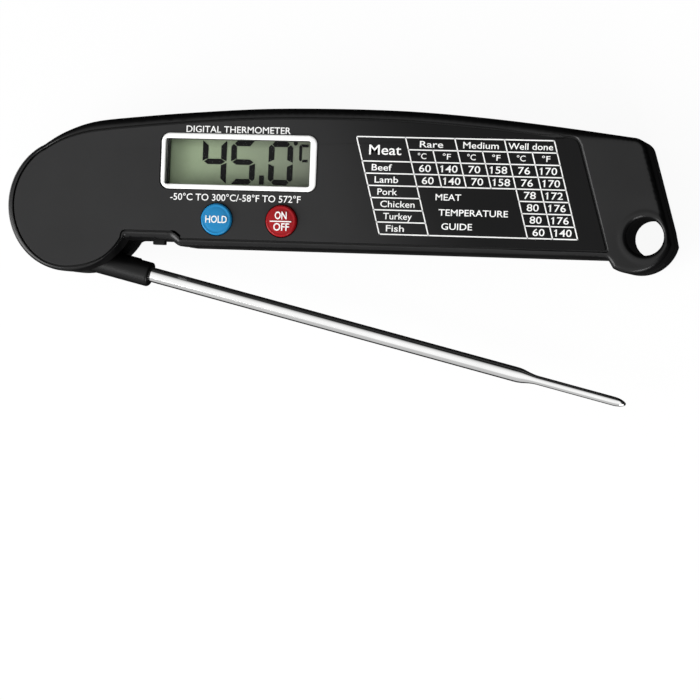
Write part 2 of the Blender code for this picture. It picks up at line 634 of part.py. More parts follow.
def probe(looks):
    """The probe is modelled folded shut along +X and turned to its rest angle by its pivot."""
    pivot = bpy.data.objects.new("probe_pivot", None)
    bpy.context.scene.collection.objects.link(pivot)
    pivot.location = Vector((0.0, 0.0, PART_Z)) * MM
    pivot.rotation_euler = (0.0, 0.0, math.radians(PROBE_ANGLE))
    origin = (0.0, 0.0, PART_Z)

    low, high = HUB_Z
    arm = turned("probe_arm", [(low, HUB_R - 0.5), (low + 0.5, HUB_R), (high - 0.5, HUB_R), (high, HUB_R - 0.5)],
                 steps=56)
    bar = turned("bar", [(0.0, ARM_R), (ARM_END_X - 0.5, ARM_R), (ARM_END_X, ARM_R - 0.45)], (ARM_Y, PART_Z), "X", 28)
    join(arm, bar)
    cut(arm, turned("bore", [(1.0, 2.05), (ARM_END_X + 1, 2.05)], (ARM_Y, PART_Z), "X", 20))
    cut(arm, turned("axle_bore", [(low - 1, HUB_BORE_R), (high + 1, HUB_BORE_R)], steps=28))
    cut(arm, ring_turned("lead_pocket", [(8.0, 4.9), (high + 1, 4.9), (high + 1, 10.2), (8.0, 10.2)], steps=36))
    cut(arm, box("lead_window", (-1.5, 1.5), (-5.5, -3.0), (8.4, 10.6)))
    cut(arm, box("catch_slot", (17.8, 23.0), (-9.6, -7.0), (7.7, 10.3)))
    finish(arm, looks["shell"], origin, pivot)

    cover = ring_turned("hub_cover", [(10.9, 5.2), (11.8, 5.2), (11.8, 9.9), (10.9, 9.9)], steps=36)
    finish(cover, looks["dark_plastic"], origin, pivot)

    tube = turned("probe_tube", [(TUBE_START_X, TUBE_R), (60.0, TUBE_R), (TAPER_X[0], TUBE_R), (TAPER_X[1], TIP_R),
                                 (TIP_X[0], TIP_R), (TIP_X[1] - 0.5, 0.45), (TIP_X[1], 0.15)],
                  (ARM_Y, PART_Z), "X", 24)
    cut(tube, turned("bore", [(TUBE_START_X - 1, TUBE_BORE_R), (TAPER_X[0] - 1, TUBE_BORE_R),
                              (TAPER_X[1] - 1, TIP_BORE_R), (133.6, TIP_BORE_R)], (ARM_Y, PART_Z), "X", 12))
    finish(tube, looks["steel"], origin, pivot)

    bead = turned("sensor_bead", [(131.4, 0.15), (131.6, 0.35), (132.8, 0.35), (133.1, 0.15)], (ARM_Y, PART_Z), "X", 10)
    finish(bead, looks["bead"], origin, pivot)

    path = [(131.0, ARM_Y, PART_Z), (100.0, ARM_Y, PART_Z), (40.0, ARM_Y, PART_Z), (12.0, ARM_Y, PART_Z)]
    turn_in = [(12.0, ARM_Y, PART_Z), (7.0, ARM_Y, 9.1), (3.2, -10.1, 9.3), (0.0, -8.6, 9.4)]
    path += smooth_path(turn_in, 3)[1:]
    for i in range(1, 15):
        angle = math.radians(270 - 11.5 * i)
        radius = 8.6 - 0.16 * i
        path.append((radius * math.cos(angle), radius * math.sin(angle), 9.4))
    finish(swept("sensor_lead", path, LEAD_R, 6), looks["red_wire"], origin, pivot)


def main():
    clear_scene()
    looks = {
        "shell": material("black_abs", (0.016, 0.016, 0.017), 0.38),
        "label": material("printed_label", (0.045, 0.045, 0.047), 0.5),
        "frame": material("white_abs", (0.85, 0.85, 0.83), 0.35),
        "window": material("clear_acrylic", (0.9, 0.95, 0.93), 0.05, transmission=0.9),
        "lcd": material("lcd_glass", (0.23, 0.29, 0.2), 0.25),
        "reflector": material("reflector_film", (0.7, 0.72, 0.7), 0.3),
        "zebra": material("zebra_rubber", (0.6, 0.25, 0.3), 0.7),
        "dark_plastic": material("dark_plastic", (0.03, 0.03, 0.03), 0.5),
        "board": material("board_green", (0.03, 0.16, 0.07), 0.45),
        "chip": material("chip_epoxy", (0.02, 0.02, 0.02), 0.6),
        "steel": material("stainless_steel", (0.72, 0.72, 0.7), 0.2, 1.0),
        "nickel": material("nickel_plate", (0.7, 0.68, 0.62), 0.3, 1.0),
        "brass": material("brass", (0.7, 0.5, 0.2), 0.3, 1.0),
        "can": material("capacitor_sleeve", (0.05, 0.08, 0.2), 0.4),
        "battery": material("battery_jacket", (0.1, 0.1, 0.12), 0.35),
        "red_wire": material("red_insulation", (0.5, 0.03, 0.02), 0.45),
        "black_wire": material("black_insulation", (0.02, 0.02, 0.02), 0.45),
        "foam": material("foam_pad", (0.12, 0.12, 0.12), 0.9),
        "rubber": material("seal_rubber", (0.02, 0.02, 0.02), 0.75),
        "bead": material("thermistor_glass", (0.5, 0.3, 0.1), 0.2),
        "hold": material("blue_button", (0.03, 0.12, 0.42), 0.35),
        "power": material("red_button", (0.55, 0.03, 0.03), 0.35),
    }
    front_shell(looks["shell"])
    back_shell(looks["shell"])
    display_parts(looks)
    electronics(looks)
    buttons(looks)
    battery_parts(looks)
    fold_joint(looks)
    probe(looks)
    for number, (x, y) in enumerate(HOUSING_SCREWS, 1):
        screw("housing_screw_%d" % number, x, y, 0.6, 14.0, 1.8, 0.8, looks["steel"])


main()
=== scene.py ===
"""Looks of the folding probe thermometer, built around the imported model.

Lengths are millimetres in the CAD frame unless noted, and MM turns them into metres.
"""

import math

import bmesh
import bpy
import numpy as np
from mathutils import Matrix, Vector
from mathutils.geometry import delaunay_2d_cdt


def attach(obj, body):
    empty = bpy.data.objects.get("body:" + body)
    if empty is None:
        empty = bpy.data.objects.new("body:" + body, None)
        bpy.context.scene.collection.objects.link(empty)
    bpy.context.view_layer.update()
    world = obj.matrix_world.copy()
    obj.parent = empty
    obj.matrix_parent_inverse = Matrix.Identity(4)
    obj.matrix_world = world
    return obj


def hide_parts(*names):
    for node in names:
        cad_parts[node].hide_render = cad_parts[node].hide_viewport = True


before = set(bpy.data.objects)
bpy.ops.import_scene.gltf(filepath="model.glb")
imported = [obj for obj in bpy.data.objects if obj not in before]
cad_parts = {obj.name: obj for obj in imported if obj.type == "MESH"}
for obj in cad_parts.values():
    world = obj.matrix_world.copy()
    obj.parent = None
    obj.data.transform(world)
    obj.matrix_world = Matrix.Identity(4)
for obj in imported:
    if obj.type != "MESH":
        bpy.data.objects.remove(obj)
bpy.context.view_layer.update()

MM = 0.001
GAP = 0.3

# Body: heights as in the CAD, and an outline that stays within 0.7 mm of the CAD's
FRONT_Z = 18.0
PART_Z = 9.0
WALL = 1.8
HEAD_R = 15.5
HEAD_SQUEEZE = 0.963
NOTCH_Y = -7.5
BOTTOM_Y = -8.9
LOBE = (132.38, -3.2, 8.9)
END_TILT = 16.4
END_LINE = 134.0
CORNER = (131.62, 15.18, 3.4)
TOP_STATIONS = (
    (132.08, 18.53), (114.2, 20.7), (97.5, 22.35), (80.7, 23.45), (63.7, 23.72), (46.0, 23.38),
    (28.0, 22.13), (15.7, 20.97), (8.0, 20.07), (3.6, 19.1), (-0.3, 17.6), (-3.6, 15.95), (-7.6, 13.4),
)
LABEL_LINE = 119.4
LABEL_TILT = 16.5
LABEL_TOP = 18.05
HOLE = (135.1, -3.7)
HOLE_R = 4.2
HOLE_ROUND = 0.8
SLOT_R = 14.2
HOUSING_SCREWS = ((9.8, 16.2), (18.2, -1.6), (70.0, 19.0), (67.0, -4.0), (120.9, 13.5), (118.9, -4.2))
DISPLAY = (40.62, 10.72)
BUTTON_Y = -2.5
HOLD_X = 35.95
POWER_X = 51.35
ARM_Y = -11.0
ARM_R = 3.02
STOP_LEDGE_Y = 14.2
ARM_END_X = 21.3
PROBE_TURN = math.radians(-13.0)
DOOR_X = (64.0, 115.5)
DOOR_Y = (2.5, 14.5)
DOOR_AXIS = (65.1, 1.1)


# -------- materials

def fill(tree, node, values):
    """Sets a node's inputs by name or number: an output is linked, anything else is a plain value."""
    for key, value in values.items():
        if isinstance(value, bpy.types.NodeSocket):
            tree.links.new(value, node.inputs[key])
        else:
            node.inputs[key].default_value = value
    return node


def add_node(tree, kind, values=None, operation=None):
    made = tree.nodes.new("ShaderNode" + kind)
    if operation:
        made.operation = operation
    return fill(tree, made, values or {})


def new_material(name):
    made = bpy.data.materials.new(name)
    made.use_nodes = True
    return made, made.node_tree, made.node_tree.nodes["Principled BSDF"]


def object_place(tree):
    return add_node(tree, "TexCoord").outputs["Object"]


def along_axis(tree, axis):
    return add_node(tree, "SeparateXYZ", {"Vector": object_place(tree)}).outputs[axis]


def noise(tree, scale, detail=3.0, stretch=(1.0, 1.0, 1.0)):
    mapping = add_node(tree, "Mapping", {"Scale": stretch, "Vector": object_place(tree)})
    values = {"Scale": scale, "Detail": detail, "Vector": mapping.outputs["Vector"]}
    return add_node(tree, "TexNoise", values).outputs["Fac"]


def ramp(tree, source, low, high, start=0.35, end=0.65):
    made = add_node(tree, "ValToRGB", {"Fac": source})
    first, last = made.color_ramp.elements
    first.position, first.color = start, (*low, 1.0)
    last.position, last.color = end, (*high, 1.0)
    return made.outputs["Color"]


def map_range(tree, source, start, end, low=0.0, high=1.0, kind="LINEAR"):
    made = add_node(tree, "MapRange", {"Value": source, "From Min": start, "From Max": end,
                                       "To Min": low, "To Max": high})
    made.interpolation_type = kind
    return made.outputs["Result"]


def spread(tree, source, low, high):
    """The middle values of a noise, stretched over a range."""
    return map_range(tree, source, 0.3, 0.7, low, high)


def scaled(tree, colour, factor):
    return add_node(tree, "VectorMath", {0: colour, "Scale": factor}, "SCALE").outputs["Vector"]


def bump(tree, source, distance, strength):
    values = {"Distance": distance, "Strength": strength, "Height": source}
    return add_node(tree, "Bump", values).outputs["Normal"]


def moulded(name, dark, light, rough, grain=2600.0, depth=0.00002, strength=0.35, patch=70.0, coat=0.0,
            gloss=0.5):
    """Moulded plastic with a fine texture and slight patches in its colour and gloss."""
    made, tree, shader = new_material(name)
    fill(tree, shader, {
        "Base Color": ramp(tree, noise(tree, patch), dark, light),
        "Roughness": spread(tree, noise(tree, patch * 2.3), *rough),
        "Specular IOR Level": gloss,
        "Coat Weight": coat,
        "Coat Roughness": 0.12,
        "Normal": bump(tree, noise(tree, grain, 2.0), depth, strength),
    })
    return made


def metal(name, dark, light, rough, stretch=(1.0, 1.0, 1.0), scale=900.0):
    """Metal with fine lines or specks in its roughness and surface."""
    made, tree, shader = new_material(name)
    lines = noise(tree, scale, 4.0, stretch)
    fill(tree, shader, {
        "Metallic": 1.0,
        "Base Color": ramp(tree, noise(tree, 120.0), dark, light),
        "Roughness": spread(tree, lines, *rough),
        "Normal": bump(tree, lines, 0.000004, 0.2),
    })
    return made


def clear_plastic(name):
    """A window thin and clear enough to hide nothing, with a faint gloss."""
    made, tree, shader = new_material(name)
    fill(tree, shader, {
        "Base Color": (0.06, 0.07, 0.065, 1.0),
        "Alpha": 0.015,
        "IOR": 1.49,
        "Roughness": spread(tree, noise(tree, 300.0), 0.03, 0.07),
    })
    return made


def panel_material(name):
    """Satin charcoal print with a fine grain, and painted light: its colour is lighter at the head end and
    darker towards the hanging hole.
    """
    made, tree, shader = new_material(name)
    slope = add_node(tree, "VectorMath", {0: object_place(tree), 1: (0.894, 0.447, 0.0)}, "DOT_PRODUCT")
    # painted light falloff: the base colour goes from a lit tone at the head end to a shaded tone towards the
    # hanging hole
    painted_light_fade = map_range(tree, slope.outputs["Value"], 50.0 * MM, 88.0 * MM, kind="SMOOTHSTEP")
    tone = ramp(tree, painted_light_fade, (0.0245, 0.0245, 0.0248), (0.0044, 0.0044, 0.0046), 0.0, 1.0)
    fill(tree, shader, {
        "Base Color": scaled(tree, tone, spread(tree, noise(tree, 55.0), 0.93, 1.07)),
        "Roughness": spread(tree, noise(tree, 160.0), 0.42, 0.5),
        "Specular IOR Level": 0.1,
        "Normal": bump(tree, noise(tree, 3200.0, 2.0), 0.00002, 0.3),
    })
    return made


def lcd_material(name):
    """Grey-green liquid crystal, darker and browner to the right and shaded along its upper edge."""
    made, tree, shader = new_material(name)
    across = map_range(tree, along_axis(tree, "X"), (DISPLAY[0] - 17) * MM, (DISPLAY[0] + 17) * MM)
    tone = ramp(tree, across, (0.345, 0.435, 0.275), (0.165, 0.185, 0.14), 0.0, 1.0)
    high, top = (DISPLAY[1] + 3.4) * MM, (DISPLAY[1] + 5.4) * MM
    shade = map_range(tree, along_axis(tree, "Y"), high, top, 1.0, 0.72)
    grain = spread(tree, noise(tree, 1800.0), 0.97, 1.03)
    product = add_node(tree, "Math", {0: shade, 1: grain}, "MULTIPLY")
    fill(tree, shader, {
        "Base Color": scaled(tree, tone, product.outputs["Value"]),
        "Roughness": spread(tree, noise(tree, 200.0), 0.4, 0.5),
        "Specular IOR Level": 0.15,
    })
    return made


def battery_material(name):
    """A plain printed jacket: dark body between metal ends, with a copper-coloured band near the plus end."""
    made, tree, shader = new_material(name)
    bands = add_node(tree, "ValToRGB", {"Fac": map_range(tree, along_axis(tree, "X"), 69.8 * MM, 114.3 * MM)})
    steps = bands.color_ramp
    steps.interpolation = "CONSTANT"
    steps.elements[0].color = (0.5, 0.5, 0.5, 1.0)
    steps.elements[1].position = 0.03
    steps.elements[1].color = (0.03, 0.032, 0.036, 1.0)
    for place, colour in ((0.66, (0.55, 0.55, 0.53)), (0.675, (0.62, 0.28, 0.1)), (0.955, (0.6, 0.6, 0.58))):
        step = steps.elements.new(place)
        step.color = (*colour, 1.0)
    fill(tree, shader, {
        "Base Color": bands.outputs["Color"],
        "Roughness": spread(tree, noise(tree, 500.0), 0.24, 0.34),
        "Metallic": 0.35,
    })
    return made


def board_material(name):
    """Green solder mask with pale tracks under it."""
    made, tree, shader = new_material(name)
    brick = add_node(tree, "TexBrick", {
        "Vector": object_place(tree),
        "Scale": 260.0,
        "Mortar Size": 0.03,
        "Color1": (0.012, 0.1, 0.035, 1.0),
        "Color2": (0.014, 0.12, 0.045, 1.0),
        "Mortar": (0.06, 0.26, 0.1, 1.0),
    })
    fill(tree, shader, {
        "Base Color": brick.outputs["Color"],
        "Roughness": spread(tree, noise(tree, 400.0), 0.3, 0.42),
    })
    return made


LOOKS = {
    "black_abs": moulded("moulded_black", (0.0035, 0.0035, 0.0037), (0.0055, 0.0055, 0.0057), (0.3, 0.36),
                         gloss=0.3),
    "arm_black": moulded("moulded_arm", (0.0016, 0.0016, 0.0017), (0.0026, 0.0026, 0.0027), (0.34, 0.42),
                         gloss=0.2),
    "printed_label": panel_material("printed_panel"),
    "ink": moulded("white_ink", (0.8, 0.8, 0.79), (0.9, 0.9, 0.89), (0.45, 0.55), 4200.0),
    "white_abs": moulded("white_bezel", (0.84, 0.84, 0.83), (0.9, 0.9, 0.89), (0.22, 0.3), 2400.0, 0.00001,
                         0.2),
    "segment": moulded("lcd_segment", (0.002, 0.002, 0.0022), (0.004, 0.004, 0.0042), (0.35, 0.45), 5200.0,
                       gloss=0.1),
    "window": clear_plastic("clear_window"),
    "lcd": lcd_material("lcd_glass"),
    "reflector_film": metal("silver_film", (0.6, 0.62, 0.6), (0.7, 0.72, 0.7), (0.3, 0.45)),
    "zebra_rubber": moulded("zebra", (0.3, 0.12, 0.14), (0.38, 0.16, 0.18), (0.6, 0.75)),
    "dark_plastic": moulded("dark_moulding", (0.008, 0.008, 0.008), (0.012, 0.012, 0.012), (0.5, 0.6)),
    "board_green": board_material("circuit_board"),
    "chip_epoxy": moulded("epoxy", (0.012, 0.012, 0.012), (0.02, 0.02, 0.02), (0.5, 0.65)),
    "stainless_steel": metal("steel_probe", (0.8, 0.8, 0.795), (0.86, 0.86, 0.855), (0.07, 0.12),
                             (0.02, 1.0, 1.0), 2600.0),
    "screw_steel": metal("steel_screw", (0.55, 0.55, 0.54), (0.66, 0.66, 0.65), (0.25, 0.36)),
    "nickel_plate": metal("nickel", (0.6, 0.58, 0.53), (0.7, 0.68, 0.63), (0.22, 0.32)),
    "brass": metal("turned_brass", (0.6, 0.42, 0.16), (0.7, 0.5, 0.2), (0.22, 0.34)),
    "capacitor_sleeve": moulded("capacitor", (0.03, 0.05, 0.16), (0.04, 0.065, 0.2), (0.3, 0.4)),
    "battery_jacket": battery_material("battery_wrap"),
    "red_insulation": moulded("red_wire", (0.36, 0.016, 0.012), (0.44, 0.022, 0.016), (0.35, 0.45)),
    "black_insulation": moulded("black_wire", (0.01, 0.01, 0.01), (0.016, 0.016, 0.016), (0.35, 0.45)),
    "foam_pad": moulded("foam", (0.02, 0.02, 0.021), (0.05, 0.05, 0.052), (0.85, 0.95), 1400.0, 0.0002, 0.8,
                        900.0),
    "seal_rubber": moulded("rubber", (0.004, 0.004, 0.004), (0.007, 0.007, 0.007), (0.6, 0.7), gloss=0.2),
    "thermistor_glass": moulded("amber_bead", (0.4, 0.18, 0.04), (0.5, 0.25, 0.06), (0.1, 0.2)),
    "blue_button": moulded("blue_key", (0.009, 0.17, 0.37), (0.015, 0.2, 0.43), (0.24, 0.32), 2400.0, 0.00001,
                           0.15, 90.0, 0.04, 0.12),
    "red_button": moulded("red_key", (0.25, 0.0045, 0.0075), (0.3, 0.007, 0.0105), (0.24, 0.32), 2400.0,
                          0.00001, 0.15, 90.0, 0.04, 0.12),
}


# -------- mesh helpers

def new_object(name, data):
    made = bpy.data.objects.new(name, data)
    bpy.context.scene.collection.objects.link(made)
    return made


def from_bmesh(name, shape):
    data = bpy.data.meshes.new(name)
    shape.to_mesh(data)
    shape.free()
    return new_object(name, data)


def as_object(name, shape):
    """A closed mesh as an object, with its faces turned outwards."""
    many = [face for face in shape.faces if len(face.verts) > 4]
    bmesh.ops.triangulate(shape, faces=many)
    bmesh.ops.recalc_face_normals(shape, faces=shape.faces)
    if shape.calc_volume(signed=True) < 0:
        bmesh.ops.reverse_faces(shape, faces=shape.faces)
    return from_bmesh(name, shape)


def loft(name, sections):
    """A skin over rings of points, closed at both ends."""
    shape = bmesh.new()
    rings = [[shape.verts.new(Vector(point) * MM) for point in section] for section in sections]
    count = len(rings[0])
    for lower, upper in zip(rings, rings[1:]):
        for i in range(count):
            j = (i + 1) % count
            shape.faces.new((lower[i], lower[j], upper[j], upper[i]))
    shape.faces.new(list(reversed(rings[0])))
    shape.faces.new(rings[-1])
    return as_object(name, shape)


def prism(name, outline, low, high):
    return loft(name, [[(x, y, low) for x, y in outline], [(x, y, high) for x, y in outline]])


def box(name, x, y, z):
    corners = [(x[0], y[0]), (x[1], y[0]), (x[1], y[1]), (x[0], y[1])]
    return prism(name, corners, z[0], z[1])


def ring_point(distance, radius, angle, axis, centre):
    """A point of a turned shape: its distance is along the axis, and the centre is in the other two."""
    u, v = radius * math.cos(angle), radius * math.sin(angle)
    if axis == "X":
        return (distance, centre[0] + u, centre[1] + v)
    if axis == "Y":
        return (centre[0] + u, distance, centre[1] + v)
    return (centre[0] + u, centre[1] + v, distance)


def turned(name, profile, centre=(0.0, 0.0), axis="Z", steps=64):
    """A solid of revolution from (distance along the axis, radius) pairs."""
    angles = [2 * math.pi * i / steps for i in range(steps)]
    return loft(name, [[ring_point(distance, radius, angle, axis, centre) for angle in angles]
                       for distance, radius in profile])


def ring_turned(name, profile, steps=64):
    """A ring about the fold axis, with the closed profile as its section."""
    shape = bmesh.new()
    rows = []
    for i in range(steps):
        angle = 2 * math.pi * i / steps
        points = [ring_point(distance, radius, angle, "Z", (0.0, 0.0)) for distance, radius in profile]
        rows.append([shape.verts.new(Vector(point) * MM) for point in points])
    count = len(profile)
    for i in range(steps):
        here, there = rows[i], rows[(i + 1) % steps]
        for k in range(count):
            n = (k + 1) % count
            shape.faces.new((here[k], here[n], there[n], there[k]))
    return as_object(name, shape)


def smooth_path(points, steps):
    """A Catmull-Rom curve through the points."""
    rows = [Vector(point) for point in points]
    rows = [2 * rows[0] - rows[1]] + rows + [2 * rows[-1] - rows[-2]]
    made = []
    for a, b, c, d in zip(rows, rows[1:], rows[2:], rows[3:]):
        for i in range(steps):
            t = i / steps
            made.append(0.5 * (2 * b + (c - a) * t + (2 * a - 5 * b + 4 * c - d) * t * t
                               + (3 * b - a - 3 * c + d) * t * t * t))
    made.append(rows[-2])
    return [tuple(point) for point in made]


def combine(target, tool, operation):
    step = target.modifiers.new("step", "BOOLEAN")
    step.operation = operation
    step.solver = "MANIFOLD"
    step.object = tool
    bpy.context.view_layer.objects.active = target
    bpy.ops.object.modifier_apply(modifier=step.name)
    bpy.data.objects.remove(tool, do_unlink=True)


def cut(target, *tools):
    for tool in tools:
        combine(target, tool, "DIFFERENCE")


def join(target, *tools):
    for tool in tools:
        combine(target, tool, "UNION")


def soften(obj, edge, angle):
    soft = obj.modifiers.new("soft_edges", "BEVEL")
    soft.width = edge * MM
    soft.segments = 2
    soft.limit_method = "ANGLE"
    soft.angle_limit = math.radians(angle)


def finish(obj, look, body, nodes=(), angle=30.0, edge=0.0, smooth=True):
    """Gives a piece its material, soft edges and body, and hides the CAD nodes it stands for."""
    obj.data.materials.clear()
    obj.data.materials.append(LOOKS[look])
    if smooth:
        obj.data.shade_smooth()
        obj.data.set_sharp_from_angle(angle=math.radians(angle))
        weighted = obj.modifiers.new("weighted", "WEIGHTED_NORMAL")
        weighted.keep_sharp = True
        weighted.weight = 60
    if edge:
        soften(obj, edge, 40)
    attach(obj, body)
    if nodes:
        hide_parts(*nodes)


def arc(centre_x, centre_y, radius, start, end, steps):
    made = []
    for i in range(steps + 1):
        angle = math.radians(start + (end - start) * i / steps)
        made.append((centre_x + radius * math.cos(angle), centre_y + radius * math.sin(angle)))
    return made


def rounded_rectangle(centre, size, radius, steps=10):
    half_x = size[0] / 2 - radius
    half_y = size[1] / 2 - radius
    made = []
    for sign_x, sign_y, start in ((1, 1, 0), (-1, 1, 90), (-1, -1, 180), (1, -1, 270)):
        corner = (centre[0] + sign_x * half_x, centre[1] + sign_y * half_y)
        made += arc(corner[0], corner[1], radius, start, start + 90, steps)
    return made


def end_line_point(line, tilt, y):
    """A point at height y on a line that lies at a distance from the origin and leans by the tilt."""
    angle = math.radians(tilt)
    return ((line - y * math.sin(angle)) / math.cos(angle), y)


def rounded_chain(points, radius, steps=5):
    """An open chain of points with its inner corners rounded."""
    made = [points[0]]
    for before, here, after in zip(points, points[1:], points[2:]):
        a, b, c = Vector(before), Vector(here), Vector(after)
        reach_in = min(radius, (b - a).length * 0.45)
        reach_out = min(radius, (c - b).length * 0.45)
        start = b + (a - b).normalized() * reach_in
        end = b + (c - b).normalized() * reach_out
        for i in range(steps + 1):
            t = i / steps
            made.append(tuple((1 - t) ** 2 * start + 2 * t * (1 - t) * b + t * t * end))
    made.append(points[-1])
    return made


def body_outline():
    points = arc(0.0, 0.0, HEAD_R, 119.3, 329.5, 96)
    lobe = arc(*LOBE, 241.0, 346.0, 40)
    corner = points[-1]
    low = [corner, (14.0, NOTCH_Y), (24.6, NOTCH_Y), (26.6, BOTTOM_Y), (126.75, BOTTOM_Y), lobe[0]]
    points += rounded_chain(low, 0.7)[1:-1]
    points += lobe
    points += [end_line_point(END_LINE, END_TILT, y) for y in (-2.0, 2.0, 6.0, 10.0)]
    points += arc(*CORNER, 16.4, 82.2, 18)
    points += smooth_path(TOP_STATIONS, 9)[1:-1]
    return spaced([(x * HEAD_SQUEEZE if x < 0 else x, y) for x, y in points])


def spaced(points):
    """Long runs of the outline filled in, so that rings and walls have even faces."""
    made = []
    for here, there in zip(points, points[1:] + points[:1]):
        a, b = Vector(here), Vector(there)
        parts = max(1, round((b - a).length / 1.2))
        for i in range(parts):
            made.append(tuple(a.lerp(b, i / parts)))
    return made


def ease(value, low, high):
    t = np.clip((np.asarray(value, float) - low) / (high - low), 0.0, 1.0)
    return t * t * (3 - 2 * t)


def label_margin(x, y):
    """How far the printed panel lies inside the body's outline."""
    edge = 1.75 - 0.5 * ease(x, -15.0, -5.0)
    top = edge + 1.35 * ease(x, -9.0, 9.0)
    low = edge - 0.5 * ease(x, 2.0, 11.0) + 1.3 * ease(x, 13.3, 14.0) - 0.2 * ease(x, 24.0, 27.0)
    low = low + 0.45 * ease(x, 24.2, 25.0) * (1 - ease(x, 26.0, 27.4))
    return np.where(np.asarray(y) > 0, top, low)


def rim_margin(x, y):
    """How wide the rounded rim of the front is."""
    rim = label_margin(x, y) - 0.35
    return rim + (1.25 - rim) * ease(x, 118.0, 130.0)


def rim_height(x):
    """How far the rounded rim drops at the outline."""
    return 1.2 + 1.4 * ease(x, -6.0, 14.0) - 0.9 * ease(x, 118.0, 132.0)


def inset(outline, distances):
    """The outline with each point moved inwards by its own distance."""
    made = []
    count = len(outline)
    for i, (x, y) in enumerate(outline):
        before = Vector(outline[i - 1])
        here = Vector((x, y))
        after = Vector(outline[(i + 1) % count])
        first = (here - before).normalized()
        second = (after - here).normalized()
        normal_a = Vector((-first.y, first.x))
        normal_b = Vector((-second.y, second.x))
        middle = (normal_a + normal_b).normalized()
        reach = float(distances[i]) / max(middle.dot(normal_a), 0.6)
        made.append(tuple(here + middle * reach))
    return made


def depth_inside(points, outline):
    """Distance of each point from the outline, positive inside."""
    line = np.array(outline)
    start = line[None]
    along = np.roll(line, -1, axis=0)[None] - start
    found = np.empty(len(points))
    inside = np.zeros(len(points), bool)
    for first in range(0, len(points), 800):
        part = np.array(points[first:first + 800])[:, None]
        t = np.clip(((part - start) * along).sum(2) / (along ** 2).sum(2), 0, 1)
        found[first:first + 800] = np.sqrt((((start + along * t[..., None]) - part) ** 2).sum(2)).min(1)
        over = (start[..., 1] > part[..., 1]) != ((start + along)[..., 1] > part[..., 1])
        rise = np.where(np.abs(along[..., 1]) < 1e-12, 1e-12, along[..., 1])
        cross = start[..., 0] + (part[..., 1] - start[..., 1]) / rise * along[..., 0]
        inside[first:first + 800] = ((over & (part[..., 0] < cross)).sum(1) % 2) == 1
    return np.where(inside, found, -found)


def clean_inset(outline, distances):
    """An inset outline without the small loops that an inset makes at tight corners."""
    moved = inset(outline, distances)
    depth = depth_inside(moved, outline)
    return [p for p, d, wanted in zip(moved, depth, distances) if d > wanted - 0.03]


def label_outline(grow=0.0):
    outline = body_outline()
    distances = [float(label_margin(x, y)) - grow for x, y in outline]
    moved = clean_inset(outline, distances)
    limit = LABEL_LINE + grow
    lower = [p for p in moved if p[1] <= 0 and p[0] < 123.8 and p[0] > 0]
    upper = [p for p in moved if p[1] > 0 and p[0] < 116.6]
    head = [p for p in moved if p[1] <= 0 and p[0] <= 0]
    right = [p for p in upper if p[0] > -7.0]
    left = [p for p in upper if p[0] <= -7.0]
    bottom_y = lower[-1][1]
    corner = end_line_point(limit, LABEL_TILT, bottom_y)
    peak = end_line_point(limit, LABEL_TILT, 18.15 + grow)
    chain = [lower[-1], (corner[0], bottom_y), peak, right[0]]
    turn = rounded_chain(chain, 2.0, 7)[1:-1]
    tight = rounded_chain(chain, 0.6, 4)[1:-1]
    end = tight[:5] + turn[8:]
    return left + head + lower + end + right


def thinned(points, space):
    """Points with any that lie closer than the given space to an earlier one left out."""
    kept = []
    cells = {}
    for x, y in points:
        key = (int(x // space), int(y // space))
        near = [p for i in (-1, 0, 1) for j in (-1, 0, 1) for p in cells.get((key[0] + i, key[1] + j), ())]
        if all((x - u) ** 2 + (y - v) ** 2 > space * space for u, v in near):
            kept.append((x, y))
            cells.setdefault(key, []).append((x, y))
    return kept


def rounding(distance, width):
    """The drop of a quarter-round edge, as a share: 1 at the edge and 0 from the width inwards."""
    t = np.clip(distance / width, 0, 1)
    return 1 - np.sqrt(np.clip(1 - (1 - t) ** 2, 0, 1))


def front_height(x, y, depth):
    z = FRONT_Z - rim_height(x) * rounding(depth, rim_margin(x, y))
    angle = math.radians(LABEL_TILT)
    beyond = x * math.cos(angle) + y * math.sin(angle) - LABEL_LINE
    z = z - 0.9 * ease(beyond, 0.8, 17.0)
    radius = np.hypot(x - HOLE[0], y - HOLE[1])
    z = z - HOLE_ROUND * rounding(radius - HOLE_R, HOLE_ROUND)
    return z + 0.25 * (1 - ease(np.abs(radius - 5.3), 0.0, 1.1)) - 0.35 * (1 - ease(radius, 5.0, 9.5))


def back_height(x, y, depth):
    radius = np.hypot(x - HOLE[0], y - HOLE[1])
    return 1.1 * rounding(depth, 1.3) + HOLE_ROUND * rounding(radius - HOLE_R, HOLE_ROUND)


